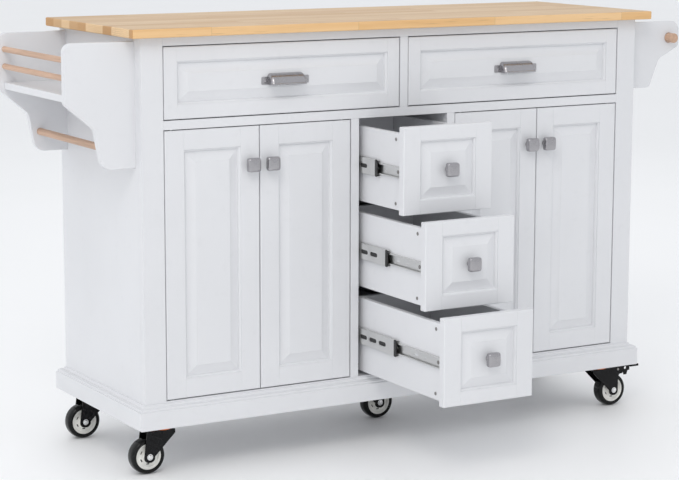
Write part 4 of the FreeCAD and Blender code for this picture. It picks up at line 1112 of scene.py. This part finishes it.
class BuildSlides(bpy.types.Operator):
    """Outer and middle members of the drawer slides, with ball cages and bumpers"""

    bl_idname = "cart.slides"
    bl_label = "Drawer slides"

    def execute(self, context):
        slides = context.scene.cart_slides
        fixed_low, fixed_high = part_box("slide_outer_members")
        fixed = bmesh.new()
        for drawer in TOP_DRAWERS + BAY_DRAWERS:
            body = "drawer_" + drawer
            box_low, box_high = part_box(body + "_box")
            low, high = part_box(body + "_slide")
            level = (box_low.z + box_high.z) / 2
            walls = ((low.x - slides.middle_start, 1), (high.x + slides.middle_start, -1))
            for wall, way in walls:
                self.outer_member(fixed, wall, way, (fixed_low.y, fixed_high.y), level, slides)
            self.middle_members(body, walls, (low.y, high.y), level, slides)
        piece = mesh_piece("slide_outer_members_rolled", fixed, [finishes()["zinc"]])
        fit(piece, "cabinet", "slide_steel", "slide_outer_members")
        return {"FINISHED"}

    def outer_member(self, bm, wall, way, y, level, slides):
        length = y[1] - y[0]
        stations = [y[0] + share * length for share in (0.12, 0.34, 0.56, 0.78)]
        holes = [slot_outline(at, level, 0.010, 0.0040) for at in stations]
        half = slides.outer_height / 2
        add_channel(bm, wall, way, 0.0, slides.outer_width, half, y, level, slides.sheet, 0.0036, holes)

    def middle_members(self, body, walls, y, level, slides):
        steel, black = bmesh.new(), bmesh.new()
        length = y[1] - y[0]
        half = slides.middle_height / 2
        sheet = slides.sheet
        for wall, way in walls:
            stations = [y[0] + length * share for share in (0.16, 0.27, 0.38, 0.49, 0.60, 0.71, 0.84)]
            holes = [slot_outline(at, level, 0.010, 0.0045) for at in stations]
            start = slides.middle_start
            add_channel(steel, wall, way, start, slides.middle_width, half, y, level, sheet, 0.0030, holes)
            near = wall + (start + sheet + 0.0002) * way
            far = near + 0.0006 * way
            strip = rounded_outline(rectangle(y[0] + 0.02, y[1] - 0.02, level - 0.0145, level + 0.0145), {})
            add_plate(black, strip, min(near, far), max(near, far), axes="yz")
            self.bumper(black, wall, way, y[0], level, slides)
        add_piece(
            body + "_middle_members", steel, "zinc", body + "_slide", "slide_steel", body + "_slide"
        )
        add_piece(body + "_ball_cages", black, "black", body + "_slide", "slide_steel")

    def bumper(self, bm, wall, way, y, level, slides):
        """The black plastic stop clipped round the front end of a middle member."""
        start = wall + (slides.middle_start - 0.0006) * way
        end = wall + (slides.middle_start + slides.sheet + 0.0002) * way
        half = slides.middle_height / 2 + 0.0004
        points = rectangle(y - 0.0006, y + 0.009, level - half, level + half)
        outline = rounded_outline(points, {0: 0.003, 1: 0.002, 2: 0.002, 3: 0.003}, 4)
        add_plate(bm, outline, min(start, end), max(start, end), edge=0.0003, axes="yz")


class BuildKnobs(bpy.types.Operator):
    """Square pillow knobs on the doors and bay drawers"""

    bl_idname = "cart.knobs"
    bl_label = "Knobs"

    def execute(self, context):
        bodies = ["door_" + door for door in DOORS] + ["drawer_" + drawer for drawer in BAY_DRAWERS]
        for body in bodies:
            node = body + "_knob"
            low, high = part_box(node)
            half = (high.x - low.x) / 2
            middle = (low + high) / 2
            face = high.y
            reach = high.y - low.y

            def out(x, z, along):
                return Vector((middle.x + x, face - along, middle.z + z))

            sections = [
                (0.0000, 0.0, 2.0),
                (0.0000, 0.0078, 2.0),
                (0.0018, 0.0080, 2.0),
                (0.0030, 0.0070, 2.0),
                (0.0048, 0.0057, 2.0),
                (0.0085, 0.0056, 2.0),
                (reach * 0.425, 0.0078, 2.2),
                (reach * 0.455, half * 0.80, 4.0),
                (reach * 0.48, half * 0.935, 5.5),
                (reach * 0.53, half * 0.99, 7.0),
                (reach * 0.60, half, 7.5),
                (reach * 0.74, half, 7.5),
                (reach * 0.83, half * 0.985, 7.0),
                (reach * 0.90, half * 0.94, 6.5),
                (reach * 0.945, half * 0.86, 6.0),
                (reach * 0.975, half * 0.70, 5.0),
                (reach * 0.992, half * 0.45, 4.0),
                (reach, half * 0.18, 3.0),
                (reach, 0.0, 2.0),
            ]
            bm = bmesh.new()
            add_loft(bm, sections, out, steps=64)
            piece = mesh_piece(body + "_pillow_knob", bm, [finishes()["nickel"]], smooth_angle=50.0)
            fit(piece, body, "satin_nickel", node)
        return {"FINISHED"}


class BuildPulls(bpy.types.Operator):
    """Cup pulls with rolled lips and screw tabs on the top drawers"""

    bl_idname = "cart.pulls"
    bl_label = "Cup pulls"

    def execute(self, context):
        sizes = context.scene.cart_hardware
        for drawer in TOP_DRAWERS:
            body = "drawer_" + drawer
            low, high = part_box(body + "_pull")
            middle = (low.x + high.x) / 2
            half = (high.x - low.x) / 2 - sizes.tab_length
            cup = self.cup(middle, half, high.y, low.z, high.y - low.y, sizes)
            piece = mesh_piece(body + "_cup_pull", cup, [finishes()["nickel"]], smooth_angle=40.0)
            shell = piece.modifiers.new("Shell", "SOLIDIFY")
            shell.thickness = sizes.pull_wall
            shell.offset = -1.0
            piece.modifiers.move(len(piece.modifiers) - 1, 0)
            fit(piece, body, "satin_nickel", body + "_pull")
            tabs, screws = bmesh.new(), bmesh.new()
            for way in (-1, 1):
                x = sorted((middle + way * (half - 0.004), middle + way * (half + sizes.tab_length)))
                corners = rectangle(x[0], x[1], low.z, low.z + sizes.tab_height)
                rounds = {1: 0.002, 2: 0.002} if way > 0 else {0: 0.002, 3: 0.002}
                outline = rounded_outline(corners, rounds, 4)
                add_plate(tabs, outline, high.y - sizes.pull_wall, high.y, edge=0.0004)
                along = middle + way * (half + sizes.tab_length / 2)
                place = (along, high.y - sizes.pull_wall, low.z + sizes.tab_height / 2)
                add_screw(screws, place, (0, -1, 0), 0.0036, 0.0014)
            add_piece(body + "_pull_tabs", tabs, "nickel", body, "satin_nickel")
            add_piece(body + "_pull_screws", screws, "nickel", body, "satin_nickel")
        return {"FINISHED"}

    def cup(self, middle, half, face, foot, reach, sizes):
        """The open shell of a cup: a quarter round with rounded shoulders and a rolled front lip."""
        body_share = 0.955
        profile = [(0.0, body_share)]
        steps = 14
        for step in range(1, steps + 1):
            angle = math.radians(80) * step / steps
            profile.append((body_share * math.sin(angle), body_share * math.cos(angle)))
        profile += [(0.975, 0.135), (1.0, 0.115), (1.0, 0.03), (0.99, 0.0)]
        shoulder = sizes.pull_shoulder
        stations = [(-half, 0.0), (-half, reach * 0.55)]
        for step in range(7):
            turn = math.pi / 2 * step / 6
            along = -half + shoulder - shoulder * math.cos(turn)
            stations.append((along, reach - shoulder + shoulder * math.sin(turn)))
        stations += [(-x, radius) for x, radius in reversed(stations)]
        bm = bmesh.new()
        rows = []
        for x, radius in stations:
            row = [bm.verts.new((middle + x, face - out * radius, foot + up * radius)) for out, up in profile]
            rows.append(row)
        for left, right in zip(rows, rows[1:]):
            for step in range(len(profile) - 1):
                bm.faces.new((left[step], left[step + 1], right[step + 1], right[step]))
        bmesh.ops.remove_doubles(bm, verts=bm.verts, dist=1e-6)
        return bm


class BuildSpiceRack(bpy.types.Operator):
    """Spice rack on the left end: brackets, shelf, two guard dowels and a towel dowel"""

    bl_idname = "cart.spice_rack"
    bl_label = "Spice rack"

    def execute(self, context):
        sizes = context.scene.cart_racks
        paint = finishes()["paint"]
        brackets = eased_from_frame(
            "spice_brackets_painted", "spice_rack_brackets", paint, sizes.edge_round
        )
        fit(brackets, "cabinet", "white_paint", "spice_rack_brackets")
        low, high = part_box("spice_rack_shelf")
        shelf = board("spice_shelf_painted", low, high, paint, sizes.edge_round)
        fit(shelf, "cabinet", "white_paint", "spice_rack_shelf")
        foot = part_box("spice_rack_brackets")[0].z
        side = high.x
        rod_low, rod_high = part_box("spice_rack_dowels")
        rods = (
            ("upper_guard", sizes.guard_radius, sizes.guard_reach, sizes.upper_guard_rise),
            ("lower_guard", sizes.guard_radius, sizes.guard_reach, sizes.lower_guard_rise),
            ("towel_dowel", sizes.lower_radius, sizes.lower_reach, sizes.lower_rise),
        )
        for name, radius, reach, rise in rods:
            bm = bmesh.new()
            spin(
                bm,
                rod_profile(radius, rod_low.y, rod_high.y, 0.0008),
                "y",
                (side - reach, 0.0, foot + rise),
                40,
            )
            piece = mesh_piece("spice_rack_" + name, bm, [finishes()["dowel"]])
            fit(piece, "cabinet", "dowel_wood", "spice_rack_dowels")
        return {"FINISHED"}


class BuildTowelRack(bpy.types.Operator):
    """Towel rack on the right end: two brackets and a bar through both"""

    bl_idname = "cart.towel_rack"
    bl_label = "Towel rack"

    def execute(self, context):
        sizes = context.scene.cart_racks
        brackets = eased_from_frame(
            "towel_brackets_painted", "towel_rack_brackets", finishes()["paint"], sizes.edge_round
        )
        fit(brackets, "cabinet", "white_paint", "towel_rack_brackets")
        low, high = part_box("towel_bar")
        radius = (high.z - low.z) / 2
        middle = (low + high) / 2
        bm = bmesh.new()
        spin(
            bm,
            rod_profile(radius, low.y, high.y, sizes.bar_end_round),
            "y",
            (middle.x, 0.0, middle.z),
            56,
        )
        add_piece("towel_bar_turned", bm, "dowel", "cabinet", "dowel_wood", "towel_bar")
        return {"FINISHED"}


class BuildCasterPlates(bpy.types.Operator):
    """Fixing plates, swivel races and orange dust rings of the five casters"""

    bl_idname = "cart.caster_plates"
    bl_label = "Caster plates"

    def execute(self, context):
        sizes = context.scene.cart_casters
        low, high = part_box("caster_plates")
        plates, screws, rings, pins = bmesh.new(), bmesh.new(), bmesh.new(), bmesh.new()
        plate_low = high.z - sizes.plate_thick
        for caster in CASTERS:
            x, y, _ = JOINTS[f"caster_{caster}_swivel"]["pos_m"]
            half = sizes.plate_length / 2
            corners = rectangle(x - half, x + half, y - half, y + half)
            outline = rounded_outline(corners, dict.fromkeys(range(4), 0.006), 5)
            add_plate(plates, outline, plate_low, high.z, edge=0.0006, axes="xy")
            inset = half - 0.009
            places = [(x + inset * a, y + inset * b, plate_low) for a in (-1, 1) for b in (-1, 1)]
            add_screws(screws, places, (0, 0, -1), 0.0042, 0.0022)
            top = sizes.race_radius
            race = [(0.0, plate_low + 0.0004), (top, plate_low + 0.0002), (top, plate_low - 0.0016)]
            race += [(top - 0.0012, plate_low - 0.0024), (0.0, plate_low - 0.0024)]
            spin(plates, race, "z", (x, y, 0.0), 56)
            foot = plate_low - sizes.race_height
            ring = [(0.010, foot + 0.0001), (top - 0.0016, foot + 0.0001), (top - 0.0006, foot + 0.0008)]
            ring += [(top, foot + 0.0024), (top - 0.0006, plate_low - 0.0026), (0.010, plate_low - 0.0026)]
            spin(rings, ring + [ring[0]], "z", (x, y, 0.0), 56)
            nut_top = plate_low - 0.001
            nut = [(0.0, low.z), (0.0052, low.z), (0.0060, low.z + 0.0008)]
            nut += [(0.0060, nut_top), (0.0, nut_top)]
            spin(pins, nut, "z", (x, y, 0.0), 6)
        add_piece("caster_plates_pressed", plates, "enamel", "cabinet", "black_metal", "caster_plates")
        add_piece("caster_plate_screws", screws, "screw", "cabinet", "slide_steel")
        add_piece("caster_dust_rings", rings, "ring", "cabinet", "wheel")
        add_piece("caster_kingpins", pins, "screw", "cabinet", "slide_steel")
        return {"FINISHED"}


class BuildForks(bpy.types.Operator):
    """Pressed caster forks with their axle bolts, and the brakes' pivot pins"""

    bl_idname = "cart.forks"
    bl_label = "Forks"

    def execute(self, context):
        sizes = context.scene.cart_casters
        for caster in CASTERS:
            body = "caster_" + caster
            node = body + "_fork"
            fork = eased_from_frame(
                body + "_fork_pressed", node, finishes()["enamel"], 0.0008, largest_only=True
            )
            fit(fork, body, "black_metal", node)
            low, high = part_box(node)
            x, y, z = JOINTS[body + "_roll"]["pos_m"]
            bm = bmesh.new()
            half = (high.y - low.y) / 2
            outside = sizes.fork_inside / 2 + sizes.fork_sheet
            for way in (-1, 1):
                washer = [(0.0, outside), (0.0062, outside), (0.0066, outside + 0.0004)]
                washer.append((0.0064, outside + 0.0012))
                washer += [(0.0042, outside + 0.0013), (0.0, outside + 0.0013)]
                spin(bm, [(radius, along * way) for radius, along in washer], "y", (x, y, z), 40)
                head = [(0.0, outside + 0.0012), (0.0050, outside + 0.0012), (0.0050, half - 0.0012)]
                head += [(0.0042, half - 0.0002), (0.0030, half), (0.0, half)]
                spin(bm, [(radius, along * way) for radius, along in head], "y", (x, y, z), 6)
            shank = [(0.0, -outside), (0.0039, -outside), (0.0039, outside), (0.0, outside)]
            spin(bm, shank, "y", (x, y, z), 24)
            add_piece(body + "_axle_bolt", bm, "chrome", body, "slide_steel", smooth_angle=30.0)
        for caster in BRAKED:
            body = "caster_" + caster
            x, y, z = JOINTS[body + "_brake"]["pos_m"]
            outside = sizes.fork_inside / 2 + sizes.fork_sheet + 0.001
            bm = bmesh.new()
            spin(bm, rod_profile(sizes.brake_pin_radius, -outside, outside, 0.0006), "y", (x, y, z), 24)
            add_piece(body + "_brake_pin", bm, "screw", body, "slide_steel")
        return {"FINISHED"}


class BuildWheels(bpy.types.Operator):
    """Black tyres on ivory rims with vent slots and hubs"""

    bl_idname = "cart.wheels"
    bl_label = "Wheels"

    def execute(self, context):
        sizes = context.scene.cart_casters
        for caster in CASTERS:
            body = f"caster_{caster}_wheel"
            low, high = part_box(body)
            centre = (low + high) / 2
            radius = (high.z - low.z) / 2
            self.tyre(body, centre, radius, sizes)
            self.rim(body, centre, sizes)
        return {"FINISHED"}

    def tyre(self, body, centre, radius, sizes):
        """A full, rounded tread whose sides run down to the rim."""
        half = sizes.tread_width / 2
        rim = sizes.rim_radius
        shoulder = rim + 0.0020
        side = [(rim, -half + 0.0010), (rim + 0.0006, -half + 0.0002)]
        for step in range(13):
            turn = math.pi / 2 * step / 12
            rise = (radius - shoulder) * math.sin(turn) ** 0.8
            side.append((shoulder + rise, -half * max(math.cos(turn), 0.0) ** 0.6))
        profile = side + [(r, -along) for r, along in reversed(side[:-1])]
        bm = bmesh.new()
        spin(bm, profile + [profile[0]], "y", centre, 96)
        add_piece(body + "_tyre", bm, "tread", body, "wheel", body)

    def rim(self, body, centre, sizes):
        outer = sizes.rim_radius - 0.0002
        face = sizes.rim_width / 2
        hub = sizes.hub_radius
        web = face - 0.0040
        bm, dark = bmesh.new(), bmesh.new()
        for way in (-1, 1):
            flange = [(outer, web), (outer, face - 0.0006), (outer - 0.0006, face), (outer - 0.0014, face)]
            flange += [(outer - 0.0018, face - 0.0012), (outer - 0.0024, face - 0.0012)]
            flange.append((outer - 0.0028, face))
            flange += [(outer - 0.0036, face), (outer - 0.0046, face - 0.0010), (outer - 0.0052, web)]
            spin(bm, [(r, way * along) for r, along in flange + [flange[0]]], "y", centre, 80)
            slots = [self.vent(centre, math.tau * (index + 0.5) / 6, hub + 0.0046) for index in range(6)]
            disc = circle(centre.x, centre.z, outer - 0.0040, 80)
            bore = circle(centre.x, centre.z, hub - 0.0030, 48)
            near, far = sorted((centre.y + way * (web - 0.0018), centre.y + way * web))
            add_plate(bm, disc, near, far, holes=[bore, *slots])
            boss = [(hub - 0.0042, web - 0.0010), (hub - 0.0042, face + 0.0010)]
            boss.append((hub - 0.0032, face + 0.0026))
            boss += [(hub - 0.0012, face + 0.0024), (hub, face + 0.0008), (hub, web - 0.0010)]
            spin(bm, [(r, way * along) for r, along in boss + [boss[0]]], "y", centre, 48)
            bush = [(0.0042, web - 0.0030), (0.0042, face + 0.0004), (0.0060, face + 0.0010)]
            bush += [(hub - 0.0044, face - 0.0010), (hub - 0.0044, web - 0.0030)]
            spin(dark, [(r, way * along) for r, along in bush + [bush[0]]], "y", centre, 40)
        # a black core fills the wheel between its two webs so that the vent slots show black: painted shade
        # inside the wheel
        inside = web - 0.0022
        core = [(0.0046, -inside), (outer - 0.001, -inside), (outer - 0.001, inside), (0.0046, inside)]
        spin(dark, core + [core[0]], "y", centre, 64)
        add_piece(body + "_rim", bm, "rim", body, "wheel")
        add_piece(body + "_bush_and_painted_shade_core", dark, "black", body, "wheel")

    def vent(self, centre, angle, radius):
        """A short round-ended slot that follows the hub's circle."""
        turn = Matrix.Rotation(angle + math.pi / 2, 2)
        middle = Vector((centre.x + radius * math.cos(angle), centre.z + radius * math.sin(angle)))
        return [turn @ point + middle for point in slot_outline(0.0, 0.0, 0.0026, 0.0014, 4)]


class BuildPedals(bpy.types.Operator):
    """Pressed brake pedals of the two right-hand casters"""

    bl_idname = "cart.pedals"
    bl_label = "Brake pedals"

    def execute(self, context):
        for caster in BRAKED:
            body = f"caster_{caster}_pedal"
            pedal = eased_from_frame(body + "_pressed", body, finishes()["enamel"], 0.0007)
            fit(pedal, body, "black_metal", body)
            low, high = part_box(body)
            bm = bmesh.new()
            for index in range(4):
                x = high.x - 0.004 - index * 0.005
                add_box(
                    bm,
                    (x - 0.0012, low.y + 0.004, high.z - 0.0004),
                    (x + 0.0012, high.y - 0.004, high.z),
                    0.0002,
                )
            add_piece(body + "_grip_ribs", bm, "black", body, "black_metal")
        return {"FINISHED"}


class BuildStage(bpy.types.Operator):
    """Pale floor, soft light and camera"""

    bl_idname = "cart.stage"
    bl_label = "Stage"

    def execute(self, context):
        stage = context.scene.cart_stage
        self.floor(stage)
        self.lights(context, stage)
        self.camera(context, stage)
        return {"FINISHED"}

    def floor(self, stage):
        reach = 60.0
        mesh = bpy.data.meshes.new("studio_floor")
        corners = [(-reach, -reach, 0), (reach, -reach, 0), (reach, reach, 0), (-reach, reach, 0)]
        mesh.from_pydata(corners, [], [(0, 1, 2, 3)])
        mesh.materials.append(floor_finish(stage.floor))
        floor = bpy.data.objects.new("studio_floor", mesh)
        bpy.context.scene.collection.objects.link(floor)

    def lights(self, context, stage):
        world = bpy.data.worlds.new("soft_surround")
        world.use_nodes = True
        background = world.node_tree.nodes["Background"]
        background.inputs["Color"].default_value = (0.95, 0.97, 1.0, 1.0)
        tree = world.node_tree
        direction = tree.nodes.new("ShaderNodeTexCoord")
        parts = tree.nodes.new("ShaderNodeSeparateXYZ")
        fall = tree.nodes.new("ShaderNodeMapRange")
        fall.inputs["From Min"].default_value = -1.0
        fall.inputs["To Min"].default_value = stage.sky * 1.00
        fall.inputs["To Max"].default_value = stage.sky * 0.84
        tree.links.new(direction.outputs["Generated"], parts.inputs["Vector"])
        tree.links.new(parts.outputs["X"], fall.inputs["Value"])
        tree.links.new(fall.outputs["Result"], background.inputs["Strength"])
        context.scene.world = world
        context.scene.view_settings.view_transform = "Standard"
        lamps = (
            ("key_light", stage.key, 1.8, (-2.4, -2.8, 3.6), (1.0, 0.97, 0.93)),
            ("side_light", stage.side, 2.0, (-3.8, -0.6, 2.2), (0.94, 0.97, 1.0)),
            ("back_light", stage.rim_light, 2.4, (1.8, 3.2, 3.0), (1.0, 1.0, 1.0)),
        )
        target = (CAD_BOX[0] + CAD_BOX[1]) / 2
        for name, power, width, place, tone in lamps:
            light = bpy.data.lights.new(name, "AREA")
            light.shape = "SQUARE"
            light.size = width
            light.energy = power
            light.color = tone
            lamp = bpy.data.objects.new(name, light)
            lamp.location = place
            lamp.rotation_euler = (target - Vector(place)).to_track_quat("-Z", "Y").to_euler()
            context.scene.collection.objects.link(lamp)

    def camera(self, context, stage):
        lens = bpy.data.cameras.new("three_quarter_view")
        lens.sensor_width = 36.0
        lens.lens = stage.lens
        lens.shift_x = stage.slide
        lens.shift_y = stage.rise
        lens.clip_end = 200.0
        camera = bpy.data.objects.new("three_quarter_view", lens)
        level = Matrix.Rotation(-stage.turn, 4, "Z") @ Matrix.Rotation(math.pi / 2 - stage.tilt, 4, "X")
        camera.matrix_world = Matrix.Translation(stage.eye) @ level @ Matrix.Rotation(stage.roll, 4, "Z")
        context.scene.collection.objects.link(camera)
        context.scene.camera = camera


PIECES = (
    BuildWorktop,
    BuildCarcass,
    BuildFaceFrame,
    BuildPlinth,
    BuildDoors,
    BuildDrawerFronts,
    BuildDrawerBoxes,
    BuildSlides,
    BuildKnobs,
    BuildPulls,
    BuildSpiceRack,
    BuildTowelRack,
    BuildCasterPlates,
    BuildForks,
    BuildWheels,
    BuildPedals,
)
GROUPS = {
    "cart_joinery": CartJoinery,
    "cart_racks": CartRacks,
    "cart_slides": CartSlides,
    "cart_hardware": CartHardware,
    "cart_casters": CartCasters,
    "cart_finishes": CartFinishes,
    "cart_stage": CartStage,
}


class CartPanel(bpy.types.Panel):
    """The cart's pieces and sizes in the 3D view's sidebar"""

    bl_idname = "VIEW3D_PT_island_cart"
    bl_label = "Kitchen Island Cart"
    bl_space_type = "VIEW_3D"
    bl_region_type = "UI"
    bl_category = "Island Cart"

    def draw(self, context):
        column = self.layout.column(align=True)
        for operator in (BuildStage, *PIECES):
            column.operator(operator.bl_idname)
        for name, group in GROUPS.items():
            settings = getattr(context.scene, name)
            box = self.layout.box()
            box.label(text=group.__doc__)
            for prop in group.__annotations__:
                box.prop(settings, prop)


def register():
    for group in GROUPS.values():
        bpy.utils.register_class(group)
    for name, group in GROUPS.items():
        setattr(bpy.types.Scene, name, PointerProperty(type=group))
    for operator in (BuildStage, *PIECES, CartPanel):
        bpy.utils.register_class(operator)


def unregister():
    for operator in (CartPanel, *reversed(PIECES), BuildStage):
        bpy.utils.unregister_class(operator)
    for name, group in GROUPS.items():
        delattr(bpy.types.Scene, name)
        bpy.utils.unregister_class(group)


def main():
    register()
    for operator in (BuildStage, *PIECES):
        group, call = operator.bl_idname.split(".")
        getattr(getattr(bpy.ops, group), call)()


if __name__ == "__main__":
    main()
